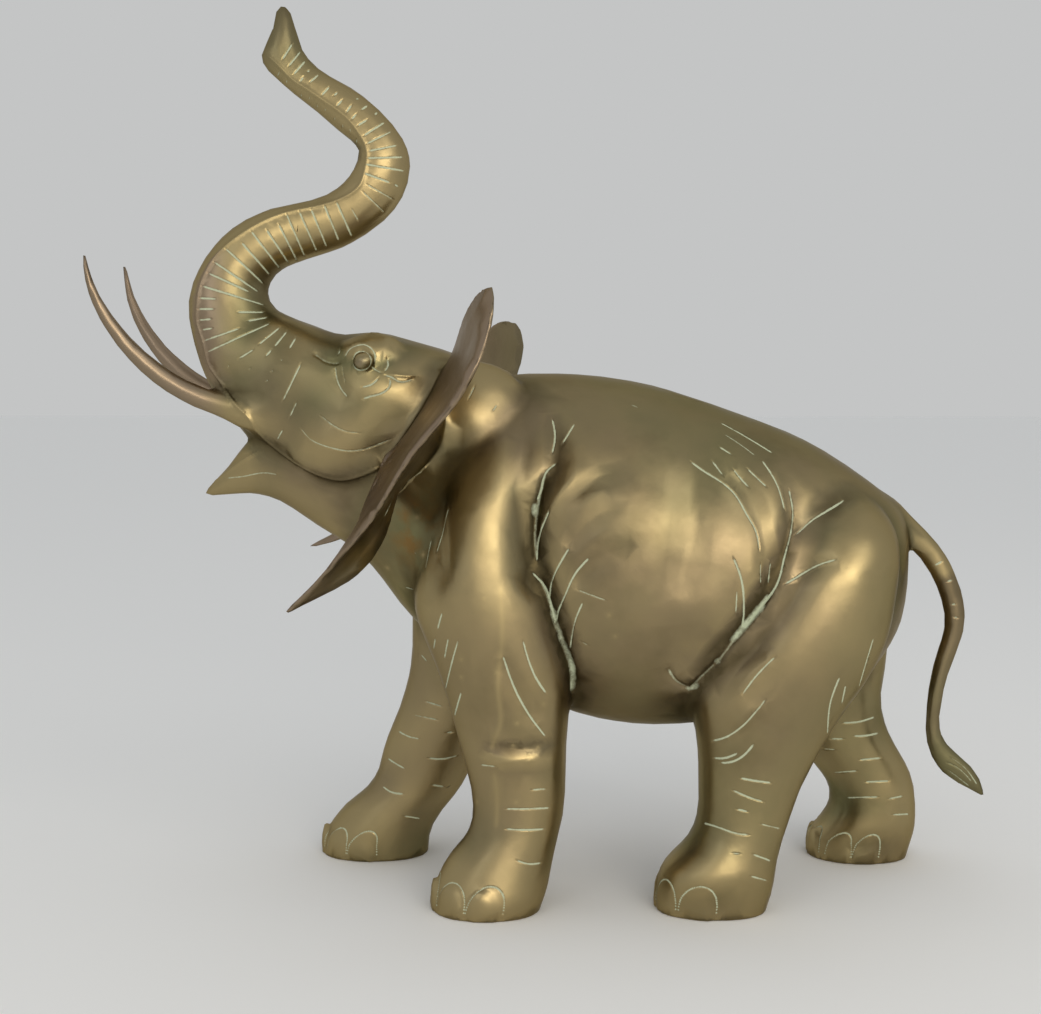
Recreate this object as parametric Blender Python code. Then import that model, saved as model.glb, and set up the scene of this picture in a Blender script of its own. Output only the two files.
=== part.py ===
"""Elephant figurine with a raised trunk, cast in brass as one piece.

The elephant stands on its four soles on the plane z = 0 and looks along -X.
Its left flank is towards -Y. Sizes are in millimetres in the tables below and
in metres in the mesh. Every mass of the body is a loft through a few stations,
the masses are melted into one skin, the large folds are pressed into that skin,
and the thin parts (ears, tusks, tail) are joined to it.
"""

import math

import bmesh
import bpy
import numpy as np
from mathutils import Matrix, Vector
from mathutils.bvhtree import BVHTree

MM = 0.001

# Thickness of an ear, and the fineness of the skin.
EAR_THICKNESS = 2.4
SKIN_VOXEL = 1.9
SKIN_TRIANGLES = 6400

# A station of the torso or head: crown (x, z), keel (x, z), half width, level of
# the widest line between keel (0) and crown (1), and how square the crown is (2 is
# an ellipse).
TORSO = [
    ((151.2, 138), (151, 123), 4, 0.5, 2.2),
    ((150.8, 150.5), (148.4, 107.5), 15, 0.5, 2.2),
    ((146, 158.8), (141, 95), 28, 0.48, 2.2),
    ((132, 170.2), (129, 83), 44, 0.46, 2.2),
    ((108, 185), (104, 74), 54, 0.46, 2.2),
    ((80, 196), (76, 69), 57, 0.46, 2.2),
    ((50, 206), (50, 66.5), 58, 0.45, 2.2),
    ((22, 211), (26, 68.5), 56, 0.45, 2.2),
    ((0, 212), (4, 75), 51, 0.46, 2.2),
    ((-19, 211), (-30, 92), 44, 0.48, 2.2),
    ((-33, 213), (-55.8, 113.2), 38, 0.5, 2.2),
    ((-46, 216), (-69.8, 131.4), 33, 0.52, 2.2),
    ((-58, 216), (-87, 146), 28, 0.55, 2.2),
    ((-70, 212), (-99, 152.5), 22, 0.55, 2.2),
]
HEAD = [
    ((-22, 207), (-32, 184), 18, 0.5, 2.2),
    ((-31, 217.5), (-41, 179), 27, 0.5, 2.4),
    ((-46, 223.4), (-52, 175), 34.5, 0.5, 2.6),
    ((-58, 226.8), (-63, 171), 37, 0.48, 2.6),
    ((-69.5, 228.9), (-77, 170.5), 36.5, 0.46, 2.6),
    ((-82, 228), (-92, 174), 33, 0.46, 2.6),
    ((-93, 231.3), (-108, 181.7), 28.5, 0.46, 2.6),
    ((-101, 234.2), (-120.6, 185.2), 24.5, 0.46, 2.6),
    ((-105.2, 236), (-128.2, 194.6), 22.4, 0.46, 2.6),
]
TRUNK = [
    ((-108.6, 237.6), (-136.4, 206), 20.4, 0.45, 2.1),
    ((-112.6, 242), (-142.6, 222), 18.4, 0.44, 2.1),
    ((-112.8, 248.4), (-145.3, 241), 16.4, 0.42, 2.1),
    ((-108.4, 254.2), (-139.8, 256.8), 15, 0.4, 2.1),
    ((-101, 257.6), (-129, 269.8), 14, 0.4, 2.1),
    ((-91.8, 260.6), (-111.6, 279.2), 12.6, 0.4, 2.1),
    ((-80.3, 264.6), (-93.2, 283.4), 11.2, 0.4, 2.1),
    ((-67.6, 272.4), (-82, 289), 10.8, 0.4, 2.1),
    ((-57, 284.4), (-76, 297), 10.8, 0.4, 2.1),
    ((-54, 301), (-75.1, 304.3), 10.4, 0.4, 2.1),
    ((-62.5, 315.8), (-81.6, 310.2), 9.4, 0.4, 2.1),
    ((-77.6, 328.6), (-92.2, 319.2), 8.4, 0.42, 2.1),
    ((-89.5, 335.4), (-102.2, 327), 7.8, 0.44, 2.1),
    ((-96.8, 342.4), (-110, 333.8), 7.5, 0.46, 2.1),
    ((-98.9, 347.8), (-114.6, 340.6), 7.2, 0.48, 2.1),
    ((-100.2, 352), (-112.5, 346.4), 6.6, 0.5, 2.1),
    ((-101.7, 356.6), (-109.6, 353.4), 5.4, 0.5, 2.1),
    ((-103.4, 361), (-108.4, 359.4), 3.6, 0.5, 2.1),
    ((-105.6, 362.8), (-106.8, 362.4), 1.4, 0.5, 2.1),
]
JAW = [
    ((-84, 184), (-80, 141), 25, 0.5, 2.2),
    ((-100, 186), (-96, 151), 22, 0.5, 2.2),
    ((-112, 187), (-109, 159), 17, 0.5, 2.2),
    ((-120.6, 184.6), (-118, 161.6), 13, 0.55, 2.2),
    ((-129, 174.8), (-126.5, 161.6), 9, 0.6, 2.2),
    ((-136, 167.4), (-134.5, 161), 5.4, 0.6, 2.2),
    ((-141.3, 162.2), (-140.8, 160.6), 1.6, 0.6, 2.2),
]

# A station of a leg: height, front x, back x, inner |y|, outer |y|.
NEAR_FORELEG = [
    (-8, -42, 0, 21, 60.5),
    (0, -42.2, 0.8, 21, 62),
    (6, -41.6, 3, 20.5, 62),
    (13.3, -39.4, 4.6, 20.5, 60.5),
    (21, -34.6, 6.2, 20, 58.5),
    (28, -28.8, 7.8, 19.5, 56.8),
    (36, -26.4, 9.6, 19, 55.5),
    (54, -28.7, 10.8, 18, 55),
    (72, -33.6, 11.6, 16, 55.5),
    (88, -38.3, 13, 12, 57),
    (102, -43.8, 12, 6, 58),
    (121, -50, 8, 0, 58.5),
    (140, -46, 1, -4, 56.5),
    (162, -41, 0, -4, 51.5),
    (180, -33, 4, -4, 44.5),
    (194, -22, 3, -4, 35),
]
FAR_FORELEG = [
    (-8, -97, -50.5, 18, 57),
    (0, -97.4, -50.6, 18, 58),
    (7, -96.4, -50, 17.5, 58.5),
    (14, -92.7, -47, 17.5, 58),
    (20.5, -87.2, -42.5, 18, 56.5),
    (28, -78.2, -36.6, 18, 55),
    (36.6, -72.6, -31.8, 18, 54.5),
    (46, -70.1, -27.5, 17.5, 54),
    (62, -64, -20.5, 16, 54),
    (81, -58.2, -12, 14, 55),
    (99, -56.6, -4, 8, 56.5),
    (120, -55, 2, 0, 57),
    (140, -48, 1, -4, 56),
    (162, -41, 0, -4, 51),
    (180, -33, 4, -4, 44),
    (194, -22, 3, -4, 35),
]
NEAR_HINDLEG = [
    (-8, 47, 89, 21, 57),
    (0, 46.6, 90.4, 21, 57.8),
    (8, 46.8, 92.8, 20.5, 58.6),
    (15.3, 48.7, 93.8, 20, 59.5),
    (21, 53.4, 94.8, 20, 58.5),
    (27, 59.4, 96.4, 19.5, 57),
    (34, 62.6, 98.8, 19, 56),
    (47, 63.6, 103.4, 18, 55.5),
    (62, 63.2, 110.8, 16, 56),
    (75, 61.4, 118.5, 12, 57.5),
    (89, 60.6, 128.6, 5, 59.5),
    (105, 72, 137, 0, 61),
    (126, 87, 141.5, -4, 60),
    (147, 97, 142, -4, 54.5),
    (159, 102, 136, -4, 42),
    (167, 107, 128, -4, 27),
]
FAR_HINDLEG = [
    (-8, 118.6, 160.5, 20, 57),
    (0, 118.6, 161.6, 20, 58),
    (9, 119.6, 164.2, 19, 58.5),
    (16, 124.4, 165, 17.5, 57.5),
    (22.8, 127.8, 164.9, 18, 56),
    (32, 126.6, 163.8, 18, 55),
    (40, 120.8, 161, 18, 54.5),
    (50, 114, 155.2, 17, 54.5),
    (60, 109, 150.6, 16, 55),
    (70, 104, 148.7, 14, 56),
    (84, 96, 149.8, 9, 58),
    (100, 89, 150.5, 3, 60),
    (116, 86, 150.5, 0, 60.5),
    (132, 91, 149, -4, 58.5),
    (147, 97, 146, -4, 54),
    (159, 102, 137, -4, 42),
    (167, 107, 128, -4, 27),
]

# A station of a tusk or of the tail: x, y, z, half thickness along z, along y.
TUSK = [
    (-96, 20, 188, 8.5, 8.5),
    (-108, 19.8, 192, 7.8, 7.8),
    (-119, 19.8, 195.5, 6.2, 6.2),
    (-128, 20, 198.7, 4.9, 4.9),
    (-137, 20.8, 201.8, 4.4, 4.4),
    (-146, 22, 206.2, 4, 4),
    (-154.4, 23.2, 212, 3.8, 3.8),
    (-163, 24.8, 220, 3.3, 3.3),
    (-170, 26.4, 228.8, 2.8, 2.8),
    (-175.4, 28, 238, 2.2, 2.2),
    (-179, 29.4, 247.6, 1.5, 1.5),
    (-181, 30, 258.4, 0.7, 0.7),
]
TAIL = [
    (136, 0, 157.5, 8, 11),
    (144, 0, 153.6, 6.8, 8.5),
    (151.8, 0, 147.4, 5.4, 6.2),
    (159.6, 0, 140.2, 4.7, 4.8),
    (165.6, 0, 132, 4.6, 4.6),
    (169.9, 0, 122.6, 4.4, 4.4),
    (172.2, 0, 113.5, 4.2, 4.2),
    (171.9, 0, 104.6, 3.9, 3.9),
    (169.2, 0, 95.6, 3.6, 3.6),
    (166.4, 0, 85.6, 3.2, 3.2),
    (164.7, 0, 75.8, 2.9, 2.9),
    (164, 0, 66.6, 2.8, 2.7),
    (165.2, 0, 59, 3.4, 2.8),
    (169.4, 0, 51.6, 4.5, 3),
    (175, 0, 46.4, 4.8, 2.8),
    (180.8, 0, 41.4, 3.4, 2),
    (185.6, 0, 35.6, 0.5, 0.5),
]

# The four edges of the left ear, as (x, y, z) with y counted outwards.
NEAR_EAR = {
    "root": [(-33, 26, 219), (-40, 29, 207), (-48, 31, 191), (-57, 31, 177), (-63, 30, 167)],
    "rim": [
        (-15.6, 103, 241), (-15.2, 110, 232.6), (-19.6, 114, 215), (-30.5, 113, 197),
        (-43.5, 108, 182), (-53.5, 101, 167), (-61.5, 94, 155.5), (-72.5, 86, 143.5),
        (-83, 80, 132.3), (-94.4, 75.6, 121.8),
    ],
    "top": [
        (-33, 26, 219), (-29.4, 48, 227), (-25.2, 69, 234.8), (-19.6, 88, 240.4), (-15.6, 103, 241),
    ],
    "low": [(-63, 30, 167), (-60, 44, 156), (-62, 54, 146), (-69.2, 62, 135.2), (-80.6, 69, 128.4), (-94.4, 75.6, 121.8)],
}
FAR_EAR = {
    "root": [(-33, 26, 219), (-40, 29, 207), (-48, 31, 191), (-57, 31, 177), (-63, 30, 167)],
    "rim": [
        (-13.4, 101, 236.6), (-10.6, 108, 230), (-12.6, 112, 215), (-20, 112, 200),
        (-32, 108, 185), (-45, 102, 171), (-58, 95, 159), (-73, 88, 149),
        (-91, 82, 140.6), (-109, 77, 132),
    ],
    "top": [(-33, 26, 219), (-29, 48, 225), (-24, 68, 232.4), (-18.5, 86, 237), (-13.4, 101, 236.6)],
    "low": [(-63, 30, 167), (-61, 44, 159), (-66, 54, 152.5), (-77, 62, 144.8), (-92, 70, 137.2), (-109, 77, 132)],
}

# How far an ear swells forwards, and how much thicker its root is behind.
EAR_BULGE = 12.5
EAR_ROOT = 15.0

# Rounded masses that stand out of the lofts: centre (x, |y|, z) and radii.
BROW = ((-67, 23, 219.2), (14, 11, 9))
CHEEK = ((-78, 22, 185), (24, 15.5, 15))
EYEBALL = ((-69.3, 34.2, 216.2), (4.2, 3.2, 3.8))

# Toenails: the radii of one of them, and how high and how deep it is set.
NAIL_RADII = (2.0, 6.4, 9.0)
NAIL_LIFT = 3.0
NAIL_INSET = 0.95

# The legs: stations, side (-1 is left), and where the toenails sit round the front
# of the foot, in degrees from straight ahead, counted outwards.
LEGS = (
    (NEAR_FORELEG, -1, (-72, -32, 8, 48, 88)),
    (FAR_FORELEG, 1, (-79, -45, -5, 35, 75)),
    (NEAR_HINDLEG, -1, (-55, -13, 29, 71)),
    (FAR_HINDLEG, 1, (-90, -58, -18, 22, 62)),
)

# A fold in the flank: half width, depth (negative stands out), and its line of
# (x, z) places as seen from the side.
FOLDS = [
    (4.2, 2.6, [(5, 196), (7, 185), (5.5, 174), (0, 162), (-1, 150), (0, 138), (4.5, 126), (9.5, 112), (14, 98)]),
    (4.6, 3.2, [(95, 172), (97.5, 161), (96, 148), (91, 134), (82, 120), (71, 107), (60, 94)]),
    (4.6, 1.3, [(128, 168), (117, 163), (107, 158), (98, 151)]),
    (3.0, -1.6, [(6, 57.5), (-8, 57), (-22, 57.5)]),
    (2.6, 1.6, [(6, 53.8), (-8, 53.2), (-23, 54)]),
]


def spline(rows, spacing):
    """Points of a natural cubic through the rows, about one spacing apart."""
    rows = np.array(rows, dtype=float)
    steps = np.maximum(np.linalg.norm(np.diff(rows, axis=0), axis=1), 0.5)
    at = np.concatenate([[0.0], np.cumsum(steps)])
    count = len(rows)
    system = np.eye(count)
    right = np.zeros_like(rows)
    for k in range(1, count - 1):
        system[k, k - 1] = steps[k - 1]
        system[k, k] = 2 * (steps[k - 1] + steps[k])
        system[k, k + 1] = steps[k]
        right[k] = 6 * ((rows[k + 1] - rows[k]) / steps[k] - (rows[k] - rows[k - 1]) / steps[k - 1])
    bend = np.linalg.solve(system, right)
    samples = np.linspace(0, at[-1], max(3, int(round(at[-1] / spacing)) + 1))
    span = np.clip(np.searchsorted(at, samples, side="right") - 1, 0, count - 2)
    width = steps[span][:, None]
    before = (at[span + 1] - samples)[:, None]
    after = (samples - at[span])[:, None]
    low, high = bend[span], bend[span + 1]
    return (
        low * before ** 3 / (6 * width)
        + high * after ** 3 / (6 * width)
        + (rows[span] / width - low * width / 6) * before
        + (rows[span + 1] / width - high * width / 6) * after
    )


def power(value, exponent):
    """Signed power, which squares a circle off into a superellipse."""
    return np.sign(value) * np.abs(value) ** exponent


def mesh_of_rings(rings):
    """Closed bmesh through rings of points, in millimetres."""
    shell = bmesh.new()
    loops = [[shell.verts.new(Vector(point) * MM) for point in ring] for ring in rings]
    sides = len(loops[0])
    for before, after in zip(loops, loops[1:]):
        for k in range(sides):
            n = (k + 1) % sides
            shell.faces.new((before[k], before[n], after[n], after[k]))
    for loop, ring in ((loops[0], rings[0]), (loops[-1], rings[-1])):
        middle = shell.verts.new(Vector(np.mean(ring, axis=0)) * MM)
        for k in range(sides):
            shell.faces.new((loop[k], loop[(k + 1) % sides], middle))
    bmesh.ops.recalc_face_normals(shell, faces=shell.faces)
    return shell


def upright_rings(stations, spacing, sides, keel_power):
    """Rings between a crown line and a keel line in the middle plane."""
    rows = [(*crown, *keel, *shape) for crown, keel, *shape in stations]
    angle = np.linspace(0, 2 * math.pi, sides, endpoint=False)
    across, along = np.cos(angle), np.sin(angle)
    rings = []
    for crown_x, crown_z, keel_x, keel_z, half, level, crown_power in spline(rows, spacing):
        exponent = np.where(along < 0, 2 / keel_power, 2 / crown_power)
        middle_x = keel_x + (crown_x - keel_x) * level
        middle_z = keel_z + (crown_z - keel_z) * level
        reach_x = np.where(along < 0, middle_x - keel_x, crown_x - middle_x)
        reach_z = np.where(along < 0, middle_z - keel_z, crown_z - middle_z)
        rise = power(along, exponent)
        side = max(half, 0.4) * power(across, exponent)
        rings.append(np.stack([middle_x + reach_x * rise, side, middle_z + reach_z * rise], axis=1))
    return rings


def level_rings(stations, side, spacing, sides):
    """Rings of a leg, one above the other, on the side given by +1 or -1."""
    angle = np.linspace(0, 2 * math.pi, sides, endpoint=False)
    across, along = power(np.cos(angle), 2 / 2.3), power(np.sin(angle), 2 / 2.3)
    rings = []
    for height, front, back, inner, outer in spline(stations, spacing):
        x = (front + back) / 2 + (back - front) / 2 * across
        y = (inner + outer) / 2 + (outer - inner) / 2 * along
        rings.append(np.stack([x, side * y, np.full(sides, height)], axis=1))
    return rings


def swept_rings(stations, side, spacing, sides):
    """Rings square to a path in space, for a tusk or the tail."""
    rows = spline([(x, side * y, z, high, wide) for x, y, z, high, wide in stations], spacing)
    path = rows[:, :3]
    ahead = np.gradient(path, axis=0)
    ahead /= np.linalg.norm(ahead, axis=1)[:, None]
    angle = np.linspace(0, 2 * math.pi, sides, endpoint=False)
    rings = []
    for centre, forward, high, wide in zip(path, ahead, rows[:, 3], rows[:, 4]):
        out = np.array([0.0, 1.0, 0.0]) - forward * forward[1]
        out /= np.linalg.norm(out)
        over = np.cross(forward, out)
        rings.append(
            centre
            + np.outer(np.cos(angle) * max(wide, 0.3), out)
            + np.outer(np.sin(angle) * max(high, 0.3), over)
        )
    return rings


def ball(centre, radii, side):
    """Closed bmesh of an ellipsoid."""
    shell = bmesh.new()
    bmesh.ops.create_uvsphere(shell, u_segments=20, v_segments=12, radius=1.0)
    for vert in shell.verts:
        place = [centre[0], side * centre[1], centre[2]]
        vert.co = Vector([place[k] + vert.co[k] * radii[k] for k in range(3)]) * MM
    return shell


def ear_sheet(edges, side, spacing):
    """Closed bmesh of one ear, a thick sheet stretched between its four edges."""
    down, out = int(round(150 / spacing)), int(round(84 / spacing))
    v = np.linspace(0, 1, down + 1)
    u = np.linspace(0, 1, out + 1)

    def edge(name, where):
        line = spline(edges[name], 1.0)
        length = np.concatenate([[0.0], np.cumsum(np.linalg.norm(np.diff(line, axis=0), axis=1))])
        return np.stack([np.interp(where * length[-1], length, line[:, k]) for k in range(3)], axis=1)

    root, rim = edge("root", v), edge("rim", v)
    top, low = edge("top", u), edge("low", u)
    uu, vv = u[None, :, None], v[:, None, None]
    sheet = (
        (1 - uu) * root[:, None] + uu * rim[:, None]
        + (1 - vv) * top[None] + vv * low[None]
        - (1 - uu) * (1 - vv) * root[0] - uu * (1 - vv) * rim[0]
        - (1 - uu) * vv * root[-1] - uu * vv * rim[-1]
    )
    crest = np.sin(math.pi * uu ** 0.8) * np.sin(math.pi * vv ** 2.6)
    sheet[:, :, 0:1] -= EAR_BULGE * crest

    along, across = np.gradient(sheet, axis=0), np.gradient(sheet, axis=1)
    normal = np.cross(along, across)
    normal /= np.maximum(np.linalg.norm(normal, axis=2), 1e-9)[:, :, None]
    thick = EAR_THICKNESS / 2 * (1.5 - 0.9 * uu)
    back = sheet + normal * thick
    back[:, :, 0:1] += EAR_ROOT * (1 - uu) ** 1.6 * np.sin(math.pi * np.clip((vv - 0.3) / 0.75, 0, 1))
    faces = [back, sheet - normal * thick]
    shell = bmesh.new()
    grids = []
    for face in faces:
        face = face * np.array([1.0, side, 1.0])
        grids.append([[shell.verts.new(Vector(point) * MM) for point in row] for row in face])
    for r in range(down):
        for c in range(out):
            front, back = grids
            shell.faces.new((front[r][c], front[r][c + 1], front[r + 1][c + 1], front[r + 1][c]))
            shell.faces.new((back[r][c], back[r + 1][c], back[r + 1][c + 1], back[r][c + 1]))
    border = [(0, c) for c in range(out + 1)] + [(r, out) for r in range(1, down + 1)]
    border += [(down, c) for c in range(out - 1, -1, -1)] + [(r, 0) for r in range(down - 1, 0, -1)]
    for (r, c), (s, d) in zip(border, border[1:] + border[:1]):
        front, back = grids
        shell.faces.new((front[r][c], back[r][c], back[s][d], front[s][d]))
    bmesh.ops.recalc_face_normals(shell, faces=shell.faces)
    return shell


def new_object(name, shell):
    """Object in the scene from a bmesh, which is freed."""
    mesh = bpy.data.meshes.new(name)
    shell.to_mesh(mesh)
    shell.free()
    piece = bpy.data.objects.new(name, mesh)
    bpy.context.scene.collection.objects.link(piece)
    return piece


def merged(name, shells):
    """One object that holds several closed shells."""
    whole = bmesh.new()
    for shell in shells:
        part = bpy.data.meshes.new(name)
        shell.to_mesh(part)
        shell.free()
        whole.from_mesh(part)
        bpy.data.meshes.remove(part)
    return new_object(name, whole)


def settle(piece, kind, **settings):
    """Add a modifier and keep its result as the object's own mesh."""
    modifier = piece.modifiers.new(kind.title(), kind)
    for key, value in settings.items():
        setattr(modifier, key, value)
    bpy.context.view_layer.update()
    shaped = bpy.data.meshes.new_from_object(piece.evaluated_get(bpy.context.evaluated_depsgraph_get()))
    piece.modifiers.clear()
    old, piece.data = piece.data, shaped
    bpy.data.meshes.remove(old)


def points_of(mesh):
    """Vertex places in millimetres."""
    flat = np.empty(len(mesh.vertices) * 3, dtype=np.float32)
    mesh.vertices.foreach_get("co", flat)
    return flat.reshape(-1, 3).astype(float) / MM


def normals_of(mesh):
    """Vertex normals."""
    flat = np.empty(len(mesh.vertices) * 3, dtype=np.float32)
    mesh.vertex_normals.foreach_get("vector", flat)
    return flat.reshape(-1, 3).astype(float)


def set_points(mesh, points):
    """Move the vertices to places given in millimetres."""
    mesh.vertices.foreach_set("co", (points * MM).astype(np.float32).ravel())
    mesh.update()


def relax(mesh, weight, rounds):
    """Smooth the skin where the weight is high, without shrinking it."""
    edges = np.empty(len(mesh.edges) * 2, dtype=np.int32)
    mesh.edges.foreach_get("vertices", edges)
    edges = edges.reshape(-1, 2)
    points = points_of(mesh)
    count = len(points)
    near = np.bincount(edges.ravel(), minlength=count)
    strength = weight(points)[:, None]
    for turn in range(2 * rounds):
        factor = 0.55 if turn % 2 == 0 else -0.5
        total = np.stack([
            np.bincount(edges[:, 0], weights=points[edges[:, 1], k], minlength=count)
            + np.bincount(edges[:, 1], weights=points[edges[:, 0], k], minlength=count)
            for k in range(3)
        ], axis=1)
        points = points + factor * strength * (total / near[:, None] - points)
    set_points(mesh, points)


def distance_to_line(points, line):
    """Distance of each point to a chain of points, and how far along it, 0 to 1."""
    best = np.full(len(points), np.inf)
    share = np.zeros(len(points))
    lengths = np.linalg.norm(np.diff(line, axis=0), axis=1)
    start = np.concatenate([[0.0], np.cumsum(lengths)])
    for k, length in enumerate(lengths):
        step = (line[k + 1] - line[k]) / max(length, 1e-9)
        along = np.clip((points - line[k]) @ step, 0, length)
        gap = np.linalg.norm(points - line[k] - along[:, None] * step, axis=1)
        closer = gap < best
        best[closer] = gap[closer]
        share[closer] = (start[k] + along[closer]) / start[-1]
    return best, share


def press_folds(mesh, side):
    """Press the large folds into one flank."""
    points, normals = points_of(mesh), normals_of(mesh)
    tree = BVHTree.FromPolygons(
        [Vector(point) for point in points], [tuple(face.vertices) for face in mesh.polygons]
    )
    moved = points.copy()
    for half, depth, line in FOLDS:
        lifted = np.array([
            tree.ray_cast(Vector((x, side * 200, z)), Vector((0, -side, 0)))[0]
            for x, z in spline(line, 3.0)
        ])
        for turn in range(6):
            lifted[1:-1, 1] = (lifted[:-2, 1] + lifted[1:-1, 1] + lifted[2:, 1]) / 3
        gap, share = distance_to_line(points, lifted)
        fade = np.sin(math.pi * share) ** 0.7
        facing = np.clip(normals[:, 1] * side * 2, 0, 1)
        moved -= normals * (depth * np.exp(-(gap / half) ** 2) * fade * facing)[:, None]
    set_points(mesh, moved)


def soft_weight(points):
    """How freely the skin may be smoothed: the trunk and feet keep their sizes."""
    trunk = np.clip((points[:, 2] - 226) / 20, 0, 1) * (points[:, 0] < -40)
    return 1 - 0.75 * trunk


def nails(stations, side, angles):
    """Rounded toenails round the front of one foot."""
    height, front, back, inner, outer = stations[1]
    shells = []
    for degrees in angles:
        turn = math.radians(degrees)
        x = (front + back) / 2 - (back - front) / 2 * math.cos(turn) * NAIL_INSET
        y = (inner + outer) / 2 + (outer - inner) / 2 * math.sin(turn) * NAIL_INSET
        nail = ball((0, 0, 0), NAIL_RADII, 1)
        bmesh.ops.rotate(nail, verts=nail.verts, matrix=Matrix.Rotation(-turn, 3, "Z"))
        if side < 0:
            bmesh.ops.scale(nail, verts=nail.verts, vec=(1, -1, 1))
            bmesh.ops.reverse_faces(nail, faces=nail.faces)
        bmesh.ops.translate(nail, verts=nail.verts, vec=Vector((x, side * y, height + NAIL_LIFT)) * MM)
        shells.append(nail)
    return shells


def body_shells():
    """The masses of the body, as closed shells that run into each other."""
    shells = [
        mesh_of_rings(upright_rings(TORSO, 4.0, 56, 2.2)),
        mesh_of_rings(upright_rings(HEAD + TRUNK, 2.5, 40, 2.6)),
        mesh_of_rings(upright_rings(JAW, 3.0, 32, 2.2)),
    ]
    for stations, side, nail_angles in LEGS:
        shells.append(mesh_of_rings(level_rings(stations, side, 3.0, 36)))
        shells += nails(stations, side, nail_angles)
    for side in (-1, 1):
        shells.append(mesh_of_rings(swept_rings(TUSK[:5], side, 2.0, 20)))
        for centre, radii in (BROW, CHEEK, EYEBALL):
            shells.append(ball(centre, radii, side))
    shells.append(mesh_of_rings(swept_rings(TAIL[:5], 1, 2.0, 20)))
    return shells


def join(piece, other):
    """Unite another closed solid with the piece, and remove the other."""
    settle(other, "TRIANGULATE")
    settle(piece, "BOOLEAN", operation="UNION", object=other, solver="EXACT")
    bpy.data.objects.remove(other)


def cast_brass():
    """Aged yellow brass, satin where hands have rubbed it."""
    material = bpy.data.materials.new("cast_brass")
    material.use_nodes = True
    shader = material.node_tree.nodes["Principled BSDF"]
    shader.inputs["Base Color"].default_value = (0.42, 0.29, 0.11, 1.0)
    shader.inputs["Metallic"].default_value = 1.0
    shader.inputs["Roughness"].default_value = 0.38
    return material


def main():
    for old in list(bpy.data.objects):
        bpy.data.objects.remove(old)
    elephant = merged("elephant", body_shells())
    settle(elephant, "REMESH", mode="VOXEL", voxel_size=SKIN_VOXEL * MM, adaptivity=0.0)
    relax(elephant.data, soft_weight, 8)
    for side in (-1, 1):
        press_folds(elephant.data, side)
    relax(elephant.data, soft_weight, 1)
    settle(elephant, "TRIANGULATE")
    settle(elephant, "DECIMATE", ratio=SKIN_TRIANGLES / len(elephant.data.polygons))
    for side in (-1, 1):
        join(elephant, new_object("tusk", mesh_of_rings(swept_rings(TUSK[2:], side, 7.0, 8))))
        edges = NEAR_EAR if side < 0 else FAR_EAR
        join(elephant, new_object("ear", ear_sheet(edges, side, 10.0)))
    join(elephant, new_object("tail", mesh_of_rings(swept_rings(TAIL[2:], 1, 7.0, 8))))
    floor = bmesh.new()
    bmesh.ops.create_cube(floor, size=1.0)
    for vert in floor.verts:
        vert.co = Vector((vert.co.x, vert.co.y, vert.co.z - 0.5))
    cutter = new_object("floor", floor)
    settle(elephant, "BOOLEAN", operation="DIFFERENCE", object=cutter, solver="EXACT")
    bpy.data.objects.remove(cutter)
    settle(elephant, "TRIANGULATE")
    elephant.data.materials.clear()
    elephant.data.materials.append(cast_brass())
    elephant.data.shade_smooth()
    elephant.data.set_sharp_from_angle(angle=math.radians(50))


main()
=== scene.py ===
"""Dressed model of an elephant figurine with a raised trunk, cast in brass.

The fine skin repeats the masses of the cast solid and adds what is too small for it:
the ridge along the trunk, the toenails and eyes, the chased lines, and the patina with
the pale deposit that has dried in the creases. Tables are in millimetres, in the frame
of the solid: the elephant looks along -X, and its left flank is towards -Y.
"""

import logging
import math
from collections.abc import Callable, Iterable, Sequence
from dataclasses import dataclass
from enum import Enum

import bmesh
import bpy
import numpy as np
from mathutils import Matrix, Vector
from mathutils.bvhtree import BVHTree
from mathutils.kdtree import KDTree


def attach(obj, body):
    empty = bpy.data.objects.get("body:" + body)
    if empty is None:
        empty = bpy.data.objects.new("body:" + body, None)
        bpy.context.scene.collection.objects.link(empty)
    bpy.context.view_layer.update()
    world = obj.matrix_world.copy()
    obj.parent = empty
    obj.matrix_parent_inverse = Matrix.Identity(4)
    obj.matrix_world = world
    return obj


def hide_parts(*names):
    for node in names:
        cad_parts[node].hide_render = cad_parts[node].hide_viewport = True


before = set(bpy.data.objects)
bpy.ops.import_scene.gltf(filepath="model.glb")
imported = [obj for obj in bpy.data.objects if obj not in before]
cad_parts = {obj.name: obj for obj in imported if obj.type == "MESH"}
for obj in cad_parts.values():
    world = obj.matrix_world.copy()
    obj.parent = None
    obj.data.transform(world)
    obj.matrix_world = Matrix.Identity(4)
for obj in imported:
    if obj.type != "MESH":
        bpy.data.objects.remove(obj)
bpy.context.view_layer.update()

MM = 0.001
LEFT = -1
RIGHT = 1

# A line drawn on the object, as places in the photograph in pixels.
Line = tuple[tuple[float, float], ...]
Rows = Sequence[tuple]


@dataclass(frozen=True)
class Tool:
    """Section that one kind of line leaves in the metal, in millimetres.

    Args:
        half: Half width of the line.
        depth: How deep it goes; a negative depth stands out.
        lip: Height of the burr pushed up along both sides.
        amount: How much it leaves of what dries in it, 0 to 1.
        spread: Half width of that layer.
        layer: What dries in it: deposit, drip or spot.
    """

    half: float
    depth: float
    lip: float
    amount: float
    spread: float
    layer: str = "deposit"


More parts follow.
